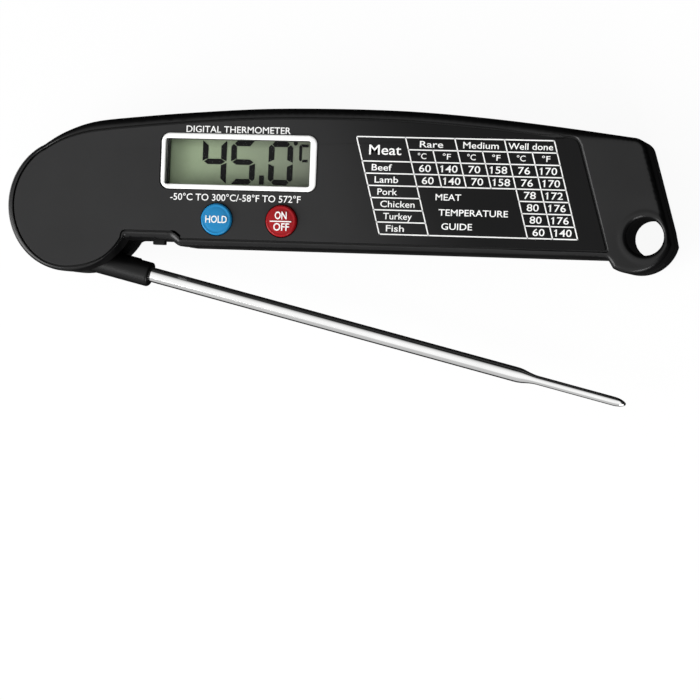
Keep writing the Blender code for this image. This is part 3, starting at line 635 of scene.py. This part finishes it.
def curved_half(name, height, parting, direction):
    """One half of the body: a curved face from the height function, side walls and a flat parting plane."""
    outline = body_outline()
    count = len(outline)
    points = []
    for share in (0.03, 0.09, 0.18, 0.3, 0.44, 0.6, 0.78, 0.95, 1.12):
        points += inset(outline, [share * float(rim_margin(x, y)) for x, y in outline])
    for i in range(18):
        points += arc(*HOLE, HOLE_R - 0.15 + (0.15 * i if i < 7 else 0.9 + 0.32 * (i - 6)), 0, 354.5, 65)
    for i in range(38):
        for k in range(56):
            points.append((116.5 + 0.66 * i + 0.33 * (k % 2), -12.0 + 0.58 * k))
    for i in range(46):
        for k in range(12):
            points.append((-12.0 + 3.0 * i, -10.0 + 3.0 * k))
    points = thinned(points, 0.13)
    depth = depth_inside(points, outline)
    points = [p for p, d in zip(points, depth) if d > 0.02]
    coords = [Vector(p) for p in outline + points]
    edges = [(i, (i + 1) % count) for i in range(count)]
    made, _, faces, origins, _, _ = delaunay_2d_cdt(coords, edges, [], 1, 1e-4)
    flat = np.array([tuple(p) for p in made])
    depth = np.maximum(depth_inside([tuple(p) for p in made], outline), 0.0)
    loop = [None] * count
    for index, source in enumerate(origins):
        for k in source:
            if k < count:
                loop[k] = index
                depth[index] = 0.0
    z = height(flat[:, 0], flat[:, 1], depth)
    shape = bmesh.new()
    face_verts = [shape.verts.new(Vector((x, y, h)) * MM) for (x, y), h in zip(flat, z)]
    for face in faces:
        shape.faces.new([face_verts[i] for i in face])
    rings = [[face_verts[i] for i in loop]]
    moved = inset(outline, [0.12] * count)
    for (level, ring) in ((parting + direction * 0.2, outline), (parting, moved)):
        rings.append([shape.verts.new(Vector((x, y, level)) * MM) for x, y in ring])
    for upper, lower in zip(rings, rings[1:]):
        for i in range(count):
            j = (i + 1) % count
            shape.faces.new((upper[i], upper[j], lower[j], lower[i]))
    shape.faces.new(rings[-1])
    return as_object(name, shape)


# -------- body halves

def cavity(low, high, stands):
    outline = body_outline()
    room = prism("room", clean_inset(outline, [WALL] * len(outline)), low, high)
    cut(room, turned("hub_wall", [(low - 2, 16.0), (high + 2, 16.0)]))
    cut(room, box("head_block", (-20.0, 5.0), (-20.0, 30.0), (low - 1, high + 1)))
    cut(room, box("lobe_block", (119.0, 150.0), (-20.0, BOTTOM_Y + WALL), (low - 1, high + 1)))
    cut(room, turned("hole_tube", [(low - 1, 6.4), (high + 1, 6.4)], HOLE, steps=48))
    for at in HOUSING_SCREWS:
        cut(room, turned("boss", [(low - 1, 2.4), (high + 1, 2.4)], at, steps=28))
    for stand in stands:
        cut(room, stand)
    return room


def shared_cuts(half, low, high):
    cut(half, turned("hub_slot", [(low, SLOT_R), (high, SLOT_R)], steps=120))
    cut(half, box("sweep_left", (-20.0, 0.0), (-20.0, STOP_LEDGE_Y), (low, high)))
    cut(half, box("sweep_right", (-1.0, 15.5), (-20.0, NOTCH_Y - 0.2), (low, high)))
    cut(half, box("tube_groove", (23.0, 127.0), (-15.0, BOTTOM_Y + GAP), (6.9, 11.1)))
    cut(half, box("tip_slot", (122.0, 150.0), (-15.0, -9.4), (7.4, 10.6)))
    cut(half, box("catch_slot", (18.3, 21.75), (-9.0, -5.5), (7.7, 10.3)))


def make_front_half():
    half = curved_half("front_housing", front_height, PART_Z + 0.15, 1.0)
    stands = [turned("stand", [(9.9, 2.2), (17.0, 2.2)], at, steps=28) for at in ((24.0, -1.6), (59.3, 0.3))]
    cut(half, cavity(PART_Z - 1, 15.5, stands))
    shared_cuts(half, PART_Z - 1, 12.4)
    recess = label_outline(GAP + 0.05)
    flare = inset(recess, [-0.08 - 0.17 * float(ease(y, 8.0, 14.0)) - 0.2 * float(ease(x, 100.0, 114.0))
                           for x, y in recess])
    cut(half, loft("label_recess", [[(x, y, 17.0) for x, y in recess], [(x, y, 17.8) for x, y in recess],
                                    [(x, y, 18.02) for x, y in flare], [(x, y, 19.0) for x, y in flare]]))
    cut(half, prism("opening", rounded_rectangle(DISPLAY, (36.6, 12.25), 1.3), 14.5, FRONT_Z + 1))
    for x in (HOLD_X, POWER_X):
        cut(half, turned("button_hole", [(14.5, 4.1), (FRONT_Z + 1, 4.1)], (x, BUTTON_Y)))
    cut(half, turned("hang_hole", [(PART_Z - 1, HOLE_R), (FRONT_Z + 1, HOLE_R)], HOLE, steps=72))
    for at in HOUSING_SCREWS:
        cut(half, turned("screw_hole", [(PART_Z - 1, 1.15), (14.4, 1.15)], at, steps=20))
    finish(half, "black_abs", "housing", ["front_shell"])


def make_back_half():
    half = curved_half("back_housing", back_height, PART_Z - 0.15, -1.0)
    ribs = [
        box("rib_low", (62.6, 117.0), (1.0, 2.0), (1.0, 7.6)),
        box("rib_high", (62.6, 117.0), (15.0, 16.0), (1.0, 7.6)),
        box("rib_end", (116.0, 117.0), (1.5, 15.5), (1.0, 8.2)),
        box("rib_front", (62.6, 63.6), (1.5, 15.5), (1.0, 7.4)),
    ]
    cut(half, cavity(2.2, PART_Z + 1, ribs))
    shared_cuts(half, 5.6, PART_Z + 1)
    door_size = (DOOR_X[1] - DOOR_X[0] + 0.6, 12.6)
    door_hole = rounded_rectangle(((DOOR_X[0] + DOOR_X[1]) / 2, 8.5), door_size, 0.9)
    cut(half, prism("door_opening", door_hole, -1.0, 3.0))
    for low, high in ((1.2, 2.5), (14.5, 15.8)):
        cut(half, turned("pin_hole", [(low, 0.75), (high, 0.75)], DOOR_AXIS, "Y", 24))
    cut(half, turned("hang_hole", [(-1.0, HOLE_R), (PART_Z + 1, HOLE_R)], HOLE, steps=72))
    for at in HOUSING_SCREWS:
        cut(half, turned("screw_seat", [(-1.0, 2.5), (0.0, 2.4), (0.25, 2.15), (1.9, 2.15)], at, steps=36))
        cut(half, turned("screw_hole", [(1.0, 1.15), (PART_Z + 1, 1.15)], at, steps=20))
    finish(half, "black_abs", "housing", ["back_shell"])


def make_panel():
    outline = label_outline()
    count = len(outline)
    rings = []
    for z, margin in ((17.06, 0.05), (17.97, 0.05), (18.03, 0.08), (LABEL_TOP, 0.15)):
        rings.append([(x, y, z) for x, y in inset(outline, [margin] * count)])
    panel = loft("printed_panel", rings)
    cut(panel, prism("frame_hole", rounded_rectangle(DISPLAY, (37.5, 13.15), 2.15), 17.0, 19.0))
    for x in (HOLD_X, POWER_X):
        cut(panel, turned("button_hole", [(17.0, 3.88), (19.0, 3.88)], (x, BUTTON_Y)))
    finish(panel, "printed_label", "housing", ["front_label"], smooth=False)


# -------- lettering

def text_mesh(words, bold):
    """Words as a mesh 0.04 thick, in the size that the curve gives them."""
    curve = bpy.data.curves.new("words", "FONT")
    curve.body = words
    curve.size = 1.0
    curve.offset = bold
    curve.extrude = 0.02
    curve.resolution_u = 3
    piece = new_object("words", curve)
    graph = bpy.context.evaluated_depsgraph_get()
    data = bpy.data.meshes.new_from_object(piece.evaluated_get(graph))
    bpy.data.objects.remove(piece, do_unlink=True)
    return data


def print_words(sheet, words, centre, base, height, width, z, bold=0.006, thick=0.03):
    """Letters of the given capital height and overall width, added to a print sheet."""
    data = text_mesh(words, bold)
    capital = text_mesh("H", bold)
    foot = min(v.co.y for v in capital.vertices)
    tall = max(v.co.y for v in capital.vertices) - foot
    left = min(v.co.x for v in data.vertices)
    right = max(v.co.x for v in data.vertices)
    scale_y = height / tall
    scale_x = width / (right - left)
    shift = Matrix.Translation(Vector((centre * MM, base * MM, z * MM)))
    scale = Matrix.Diagonal((scale_x * MM, scale_y * MM, thick / 0.04 * MM, 1.0))
    move = Matrix.Translation(Vector((-(left + right) / 2, -foot, 0.02)))
    data.transform(shift @ scale @ move)
    sheet.from_mesh(data)
    bpy.data.meshes.remove(data)
    bpy.data.meshes.remove(capital)


def add_plate(sheet, points, z, thick=0.05):
    """A thin flat shape added to a print sheet."""
    low = [sheet.verts.new(Vector((x, y, z)) * MM) for x, y in points]
    high = [sheet.verts.new(Vector((x, y, z + thick)) * MM) for x, y in points]
    count = len(points)
    faces = [sheet.faces.new(low), sheet.faces.new(high)]
    for i in range(count):
        j = (i + 1) % count
        faces.append(sheet.faces.new((low[i], low[j], high[j], high[i])))
    bmesh.ops.recalc_face_normals(sheet, faces=faces)


def add_bar(sheet, start, end, width, z, thick=0.03):
    """A printed line as a thin bar."""
    a, b = Vector(start), Vector(end)
    along = (b - a).normalized() * width / 2
    side = Vector((-along.y, along.x))
    add_plate(sheet, [a - along - side, b + along - side, b + along + side, a - along + side], z, thick)


def sheet_object(name, sheet, look, body):
    bmesh.ops.remove_doubles(sheet, verts=sheet.verts, dist=0.0000005)
    made = from_bmesh(name, sheet)
    made.data.materials.clear()
    made.data.materials.append(LOOKS[look])
    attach(made, body)


TABLE_TOP = 17.32
TABLE_LEFT = 68.3
ROW = 2.77
COLUMN = 11.42
SLANT = 0.2755
LINE = 0.27


def table_x(column, row):
    return TABLE_LEFT + COLUMN * column + SLANT * ROW * row


def table_y(row):
    return TABLE_TOP - ROW * row


def make_print():
    sheet = bmesh.new()
    z = LABEL_TOP
    print_words(sheet, "DIGITAL THERMOMETER", 40.4, 17.5, 1.5, 24.8, z)
    print_words(sheet, "-50°C TO 300°C/-58°F TO 572°F", 40.2, 1.75, 1.55, 31.0, z)

    def line(a, b):
        add_bar(sheet, (table_x(*a), table_y(a[1])), (table_x(*b), table_y(b[1])), LINE, z)

    for row, start, end in ((0, 0, 4), (1, 1, 4), (2, 0, 4), (3, 0, 4), (4, 0, 4), (8, 0, 4)):
        line((start, row), (end, row))
    for row in (5, 6, 7):
        line((0, row), (1, row))
        line((3, row), (4, row))
    for column in (0, 1, 3, 4):
        line((column, 0), (column, 8))
    line((2, 0), (2, 4))
    line((1.5, 1), (1.5, 4))
    line((2.5, 1), (2.5, 4))
    line((3.5, 1), (3.5, 8))

    def cell(words, column, row, height, width, drop=0.5):
        middle = table_x(column, row + 0.5)
        base = table_y(row + drop) - height / 2
        print_words(sheet, words, middle, base, height, width, z)

    cell("Meat", 0.53, 0.5, 2.25, 7.5, 0.55)
    for words, column, width in (("Rare", 1.5, 5.4), ("Medium", 2.5, 8.2), ("Well done", 3.5, 10.2)):
        cell(words, column, 0, 1.45, width, 0.52)
    for column in (1, 2, 3):
        cell("°C", column + 0.25, 1, 1.3, 2.0)
        cell("°F", column + 0.75, 1, 1.3, 1.9)
    names = (("Beef", 4.7), ("Lamb", 5.5), ("Pork", 4.6), ("Chicken", 8.0), ("Turkey", 6.7), ("Fish", 4.2))
    for row, (words, width) in enumerate(names, 2):
        cell(words, (1.9 + width / 2) / COLUMN, row, 1.45, width)
    for row, (values, first) in enumerate((("60 140 70 158 76 170", 0), ("60 140 70 158 76 170", 0),
                                           ("78 172", 4), ("80 176", 4), ("80 176", 4), ("60 140", 4)), 2):
        for k, words in enumerate(values.split(), first):
            cell(words, 1.25 + 0.5 * k, row, 1.6, 2.75 if len(words) == 2 else 3.7)
            if words[0] == "1":
                left, middle = table_x(1.25 + 0.5 * k, row + 0.5) - 1.7, table_y(row + 0.5)
                add_bar(sheet, (left - 0.36, middle + 0.43), (left, middle + 0.67), 0.2, z)
    for words, row, middle, width in (("MEAT", 4.33, 1.59, 5.9), ("TEMPERATURE", 5.58, 2.02, 16.0),
                                      ("GUIDE", 6.72, 1.62, 7.1)):
        cell(words, middle, row, 1.45, width)
    sheet_object("panel_print", sheet, "ink", "housing")


# -------- display

SEGMENTS = {"0": "abcdef", "4": "bcfg", "5": "acdfg"}
SEGMENT_Z = 14.22


def add_digit(sheet, lit, origin, size, stroke):
    """Seven-segment bars: where two lit bars meet at a corner their outer edges are cut off."""
    width, height = size
    middle = height / 2
    wide, tall = stroke
    for kind in lit:
        upper = kind in "abf"
        if kind == "g":
            high, low = middle + 0.1 + tall / 2, middle + 0.1 - tall / 2
            shape = [(0.33, middle + 0.1), (1.28, high), (width - 1.28, high),
                     (width - 0.35, middle + 0.1), (width - 1.28, low), (1.28, low)]
        elif kind in "ad":
            ends = [[(1.35, tall), (0.84, 0.62), (1.46, 0.0)] if beside in lit
                    else [(1.33, tall), (0.22, 0.0)] for beside in ("fb" if upper else "ec")]
            shape = ends[0] + [(width - x, y) for x, y in reversed(ends[1])]
            shape = [(x, height - y if upper else y) for x, y in shape]
        else:
            beside, side, reach = ("a", 1, (0.22, 0.82)) if upper else ("d", -1, (0.17, 0.72))
            tip = [(0.0, 1.33), (0.56, 0.78), (wide, 1.35)] if beside in lit else [(0.0, 0.1), (wide, 1.25)]
            shape = [(x, height - y if upper else y) for x, y in tip]
            shape += [(wide, middle + side * reach[1]), (0.0, middle + side * reach[0])]
            if kind in "bc":
                shape = [(width - x, y) for x, y in shape]
        add_plate(sheet, [(origin[0] + x, origin[1] + y) for x, y in shape], SEGMENT_Z)


def make_display():
    centre, size = (40.69, 10.8), (36.85, 12.9)
    hole_centre, hole = (40.43, 10.74), (34.4, 10.56)
    outer = ((17.8, 0.0), (18.2, 0.0), (18.31, 0.12), (18.36, 0.34))
    frame_piece = loft("bezel", [[(x, y, z) for x, y in rounded_rectangle(
        centre, (size[0] - 2 * slim, size[1] - 2 * slim), 2.0 - slim)] for z, slim in outer])
    join(frame_piece, prism("skirt", rounded_rectangle(DISPLAY, (36.0, 11.65), 1.0), 15.6, 18.0))
    cut(frame_piece, loft("opening", [[(x, y, z) for x, y in rounded_rectangle(
        hole_centre, (hole[0] + 2 * wide, hole[1] + 2 * wide), 0.45 + wide)] for z, wide in (
            (17.0, 0.0), (18.2, 0.0), (18.32, 0.07), (18.37, 0.18), (19.0, 0.5))]))
    cut(frame_piece, prism("seat", rounded_rectangle(DISPLAY, (35.2, 11.2), 0.4), 15.0, 17.82))
    finish(frame_piece, "white_abs", "housing", ["display_frame"], 40.0)
    gasket = prism("window_gasket", rounded_rectangle(DISPLAY, (35.1, 11.1), 0.4), 17.04, 17.78)
    view = rounded_rectangle(hole_centre, (hole[0] - 0.05, hole[1] - 0.05), 0.4)
    cut(gasket, prism("view", view, 16.0, 19.0))
    finish(gasket, "dark_plastic", "housing", (), 40.0)

    walls = prism("display_well", rounded_rectangle(DISPLAY, (39.4, 15.0), 0.8), 12.5, 15.3)
    cut(walls, prism("pocket", rounded_rectangle(DISPLAY, (38.8, 14.4), 0.4), 12.0, 14.4))
    cut(walls, prism("view", rounded_rectangle(DISPLAY, (34.4, 10.7), 0.5), 12.0, 16.0))
    join(walls, prism("collar", rounded_rectangle(DISPLAY, (35.1, 11.1), 0.4), 15.2, 15.94))
    cut(walls, prism("view", rounded_rectangle(DISPLAY, (34.3, 10.55), 0.5), 12.0, 18.0))
    finish(walls, "dark_plastic", "housing", ["lcd_holder"], 40.0)
    sheet = bmesh.new()
    for digit, left, width in (("4", 31.06, 5.75), ("5", 37.86, 5.78), ("0", 46.82, 5.78)):
        add_digit(sheet, SEGMENTS[digit], (left, 5.9), (width, 10.1), (1.34, 1.26))
    add_bar(sheet, (45.3, 6.55), (45.3, 7.5), 1.15, SEGMENT_Z, 0.05)
    for shape in (((54.05, 12.0), (54.3, 11.5), (54.72, 11.75), (54.72, 15.0), (54.4, 15.35), (54.05, 15.0)),
                  ((54.75, 11.32), (56.1, 11.32), (56.1, 11.95), (54.9, 11.95)),
                  ((54.5, 15.45), (56.2, 15.45), (56.2, 14.8), (54.85, 14.8))):
        add_plate(sheet, shape, SEGMENT_Z)
    print_words(sheet, "o", 53.15, 15.15, 1.5, 1.0, SEGMENT_Z, 0.12, 0.05)
    sheet_object("lcd_digits", sheet, "segment", "housing")


def make_keys():
    for name, x, look in (("hold", HOLD_X, "blue_button"), ("power", POWER_X, "red_button")):
        profile = [(14.3, 4.4), (15.2, 4.4), (15.25, 3.66), (18.2, 3.66), (18.45, 3.62), (18.62, 3.52),
                   (18.74, 3.36), (18.78, 3.2), (18.72, 3.05), (18.7, 2.9), (18.76, 2.7), (18.84, 2.3),
                   (18.9, 1.6), (18.93, 0.8), (18.94, 0.2)]
        key = turned(name + "_key", profile, (x, BUTTON_Y), steps=96)
        finish(key, look, name + "_key", [name + "_button"], 60.0)
    sheet = bmesh.new()
    print_words(sheet, "HOLD", HOLD_X + 0.12, BUTTON_Y - 0.85, 1.65, 5.1, 18.85, 0.014, 0.13)
    sheet_object("hold_lettering", sheet, "ink", "hold_key")
    sheet = bmesh.new()
    print_words(sheet, "ON", POWER_X, BUTTON_Y + 0.38, 1.75, 2.8, 18.83, 0.014, 0.14)
    print_words(sheet, "OFF", POWER_X + 0.2, BUTTON_Y - 2.25, 1.75, 3.7, 18.8, 0.014, 0.15)
    add_bar(sheet, (POWER_X - 2.4, BUTTON_Y - 0.12), (POWER_X + 2.4, BUTTON_Y - 0.12), 0.24, 18.85, 0.13)
    sheet_object("power_lettering", sheet, "ink", "power_key")


# -------- probe

def turn_to_rest(obj):
    """Pieces of the probe are modelled folded shut and turned to the rest angle about the fold axis."""
    obj.matrix_world = Matrix.Rotation(PROBE_TURN, 4, "Z")
    bpy.context.view_layer.update()


def make_probe():
    low, high = 6.0, 12.0
    arm = turned("fold_arm", [(low, 12.9), (low + 0.15, 13.25), (low + 0.5, 13.5), (high - 0.5, 13.5),
                              (high - 0.15, 13.25), (high, 12.9)], steps=160)
    rounded_end = [(ARM_END_X - 0.8 + 0.8 * math.sin(angle), ARM_R - 0.8 * (1 - math.cos(angle)))
                   for angle in map(math.radians, range(0, 91, 15))]
    bar = turned("bar", [(0.0, ARM_R)] + rounded_end, (ARM_Y, PART_Z), "X", 96)
    join(arm, bar)
    bore = [(1.0, 2.0), (ARM_END_X - 0.5, 2.0), (ARM_END_X + 0.3, 2.0), (ARM_END_X + 1, 2.0)]
    cut(arm, turned("bore", bore, (ARM_Y, PART_Z), "X", 48))
    cut(arm, turned("axle_bore", [(low - 1, 3.9), (high + 1, 3.9)], steps=48))
    cut(arm, ring_turned("lead_pocket", [(8.0, 4.9), (high + 1, 4.9), (high + 1, 10.2), (8.0, 10.2)]))
    cut(arm, box("catch_slot", (17.8, 23.0), (-9.6, -7.0), (7.7, 10.3)))
    turn_to_rest(arm)
    finish(arm, "arm_black", "probe", ["probe_arm"], 35.0)

    profile = [(9.0, 1.75), (30.0, 1.75), (60.0, 1.75), (90.0, 1.75), (110.6, 1.75), (111.6, 1.73),
               (112.5, 1.62), (114.3, 1.24), (115.2, 1.1), (116.0, 1.05), (125.0, 1.05), (134.3, 1.05),
               (135.0, 1.0), (135.8, 0.86), (136.5, 0.62), (136.9, 0.4), (137.08, 0.22), (137.12, 0.06)]
    tube = turned("steel_tube", profile, (ARM_Y, PART_Z), "X", 72)
    bore = [(8.0, 1.25), (110.3, 1.25), (114.5, 0.65), (133.6, 0.65)]
    cut(tube, turned("bore", bore, (ARM_Y, PART_Z), "X", 32))
    turn_to_rest(tube)
    finish(tube, "stainless_steel", "probe", ["probe_tube"], 40.0)


# -------- back details

def make_door():
    x_axis, z_axis = DOOR_AXIS
    outline = rounded_rectangle(((x_axis + DOOR_X[1]) / 2, 8.5), (DOOR_X[1] - x_axis, 12.0), 0.8)
    plate = prism("door_cover", outline, 0.0, 1.8)
    hinge_side = arc(x_axis, z_axis, z_axis, 270, 140.5, 14) + [(x_axis + 3, 1.8), (x_axis + 3, 0.0)]
    join(plate, loft("edge", [[(x, y, z) for x, z in hinge_side] for y in DOOR_Y]))
    for middle in DOOR_Y:
        join(plate, turned("pin", [(middle - 0.95, 0.45), (middle + 0.95, 0.45)], DOOR_AXIS, "Y", 24))
    join(plate, box("latch", (114.0, 115.2), (6.0, 11.0), (1.2, 2.6)))
    for step in range(5):
        x = 104.2 + 1.7 * step
        groove = rounded_rectangle((x + 0.4, 8.5), (0.8, 7.6 - 0.5 * abs(step - 2)), 0.38)
        cut(plate, prism("thumb_groove", groove, -1.0, 0.4))
    finish(plate, "black_abs", "door", ["battery_door"], 35.0, 0.12)


def keep_cad(node, look, edge):
    """A CAD piece that keeps its shape and gets its finish."""
    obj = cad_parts[node]
    obj.data.materials.clear()
    obj.data.materials.append(LOOKS[look])
    weld = obj.modifiers.new("weld", "WELD")
    weld.merge_threshold = 0.000001
    if edge:
        soften(obj, edge, 35)
    weighted = obj.modifiers.new("weighted", "WEIGHTED_NORMAL")
    weighted.keep_sharp = True


def keep_inner_pieces():
    """The CAD pieces that stay, by their look and the width of their softened edges."""
    kept = {
        ("window", 0.0): "display_window",
        ("lcd", 0.0): "lcd_cell",
        ("reflector_film", 0.0): "lcd_reflector",
        ("zebra_rubber", 0.1): "zebra_strip_upper zebra_strip_lower",
        ("board_green", 0.08): "circuit_board",
        ("chip_epoxy", 0.15): "controller_chip hold_switch power_switch",
        ("capacitor_sleeve", 0.1): "filter_capacitor",
        ("screw_steel", 0.2): "timing_crystal",
        ("screw_steel", 0.08): "board_screw_1 board_screw_2 housing_screw_1 housing_screw_2 housing_screw_3 "
                               "housing_screw_4 housing_screw_5 housing_screw_6",
        ("screw_steel", 0.0): "wave_washer",
        ("black_insulation", 0.0): "board_lead supply_lead_black",
        ("red_insulation", 0.0): "supply_lead_red sensor_lead",
        ("battery_jacket", 0.0): "battery_cell",
        ("nickel_plate", 0.0): "battery_spring",
        ("nickel_plate", 0.08): "battery_spring_plate battery_plus_plate",
        ("brass", 0.1): "pivot_axle",
        ("seal_rubber", 0.0): "hub_seal_front hub_seal_back",
        ("seal_rubber", 0.18): "arm_catch",
        ("foam_pad", 0.1): "door_pad",
        ("dark_plastic", 0.08): "hub_cover hold_switch_plunger power_switch_plunger",
        ("thermistor_glass", 0.0): "sensor_bead",
    }
    for (look, edge), nodes in kept.items():
        for node in nodes.split():
            keep_cad(node, look, edge)


# -------- studio

def stage_shell(name, shape, material):
    """A floor or backdrop: seen by the camera, and kept out of the light that falls on the object."""
    made = from_bmesh(name, shape)
    made.data.materials.append(material)
    made.visible_diffuse = False
    made.visible_glossy = False
    made.visible_transmission = False
    made.visible_shadow = False


def glowing(name, base, glow):
    """A pale surface that is bright by itself, and clear from behind."""
    made, tree, shader = new_material(name)
    fill(tree, shader, {
        "Base Color": (base, base, base, 1.0),
        "Roughness": 0.9,
        "Specular IOR Level": 0.0,
        "Emission Color": (1.0, 1.0, 1.0, 1.0),
        "Emission Strength": glow,
    })
    mix = add_node(tree, "MixShader", {
        "Fac": add_node(tree, "NewGeometry").outputs["Backfacing"],
        1: shader.outputs["BSDF"],
        2: add_node(tree, "BsdfTransparent").outputs["BSDF"],
    })
    fill(tree, tree.nodes["Material Output"], {"Surface": mix.outputs["Shader"]})
    return made


def make_floor():
    floor = bmesh.new()
    corners = [(-1.6, -1.6), (1.7, -1.6), (1.7, 1.6), (-1.6, 1.6)]
    floor.faces.new([floor.verts.new((x, y, -0.0002)) for x, y in corners])
    stage_shell("floor", floor, glowing("pale_floor", 0.06, 0.93))
    shell = bmesh.new()
    bmesh.ops.create_icosphere(shell, subdivisions=4, radius=4.0)
    bmesh.ops.reverse_faces(shell, faces=shell.faces)
    stage_shell("backdrop", shell, glowing("pale_backdrop", 0.0, 0.97))


def add_light(name, place, aim, size, power):
    light = bpy.data.lights.new(name, "AREA")
    light.shape = "RECTANGLE"
    light.size, light.size_y = size
    light.energy = power
    made = new_object(name, light)
    made.location = place
    made.rotation_euler = (Vector(aim) - Vector(place)).to_track_quat("-Z", "Y").to_euler()


# Brightness of the sky around the body's length, in degrees from straight up, and along its length
ROUND_SKY = ((-180, 0.015), (-122, 0.015), (-110, 0.3), (-102, 0.62), (-60, 0.64), (-48, 0.72), (-38, 1.12),
             (2, 1.15), (24, 0.95), (42, 0.6), (51, 0.06), (60, 0.004), (130, 0.004), (180, 0.015))
LENGTH_SKY = ((-1.0, 1.0), (0.26, 1.0), (0.4, 1.15), (0.56, 0.06), (1.0, 0.04))


def tones(tree, source, low, high, steps):
    """Grey tones over a range of values."""
    shades = add_node(tree, "ValToRGB", {"Fac": map_range(tree, source, low, high)})
    stops = shades.color_ramp
    while len(stops.elements) < len(steps):
        stops.elements.new(0.5)
    for stop, (place, tone) in zip(stops.elements, steps):
        stop.position = (place - low) / (high - low)
        stop.color = (tone, tone, tone, 1.0)
    return shades.outputs["Color"]


def make_sky():
    """A white tent over the object, open on the side of the hanging hole and dark behind and below."""
    world = bpy.data.worlds.new("studio")
    world.use_nodes = True
    tree = world.node_tree
    parts = add_node(tree, "SeparateXYZ", {"Vector": add_node(tree, "TexCoord").outputs["Generated"]})
    turn = add_node(tree, "Math", {0: parts.outputs["Y"], 1: parts.outputs["Z"]}, "ARCTAN2")
    degrees = add_node(tree, "Math", {0: turn.outputs["Value"]}, "DEGREES")
    product = add_node(tree, "VectorMath", {
        0: tones(tree, degrees.outputs["Value"], -180, 180, ROUND_SKY),
        1: tones(tree, parts.outputs["X"], -1, 1, LENGTH_SKY),
    }, "MULTIPLY")
    fill(tree, tree.nodes["Background"], {"Color": product.outputs["Vector"]})
    bpy.context.scene.world = world


def make_studio():
    make_sky()
    bpy.context.scene.view_settings.view_transform = "Standard"
    add_light("key", (-0.78, -0.5, 0.56), (0.05, 0.0, 0.0), (0.7, 0.7), 11.5)
    add_light("left_strip", (-1.0, -0.27, 0.22), (0.05, 0.0, 0.01), (0.5, 0.3), 1.5)
    add_light("lobe_strip", (0.45, -0.95, 0.36), (0.13, 0.0, 0.01), (0.4, 0.26), 4.5)
    add_light("under", (-1.0, 0.1, -0.7), (0.06, 0.0, 0.0), (1.0, 1.0), 6.0)


CAMERA_DISTANCE = 0.75  # metres


def make_camera():
    yaw = math.radians(12.5)
    roll = math.radians(2.1)
    target = Vector((66.58, -31.5, 9.0)) * MM
    back = Vector((math.sin(yaw), 0.0, math.cos(yaw)))
    right = Vector((0.0, 1.0, 0.0)).cross(back).normalized()
    up = back.cross(right)
    turned_right = right * math.cos(roll) + up * math.sin(roll)
    turned_up = up * math.cos(roll) - right * math.sin(roll)
    data = bpy.data.cameras.new("camera")
    data.lens = 166.73
    data.sensor_width = 36.0
    data.clip_start = 0.01
    camera = new_object("camera", data)
    axes = Matrix((turned_right, turned_up, back)).transposed().to_4x4()
    camera.matrix_world = Matrix.Translation(target + back * CAMERA_DISTANCE) @ axes
    bpy.context.scene.camera = camera


make_camera()
make_studio()
make_floor()
make_front_half()
make_back_half()
make_panel()
make_print()
make_display()
make_keys()
make_probe()
make_door()
keep_inner_pieces()
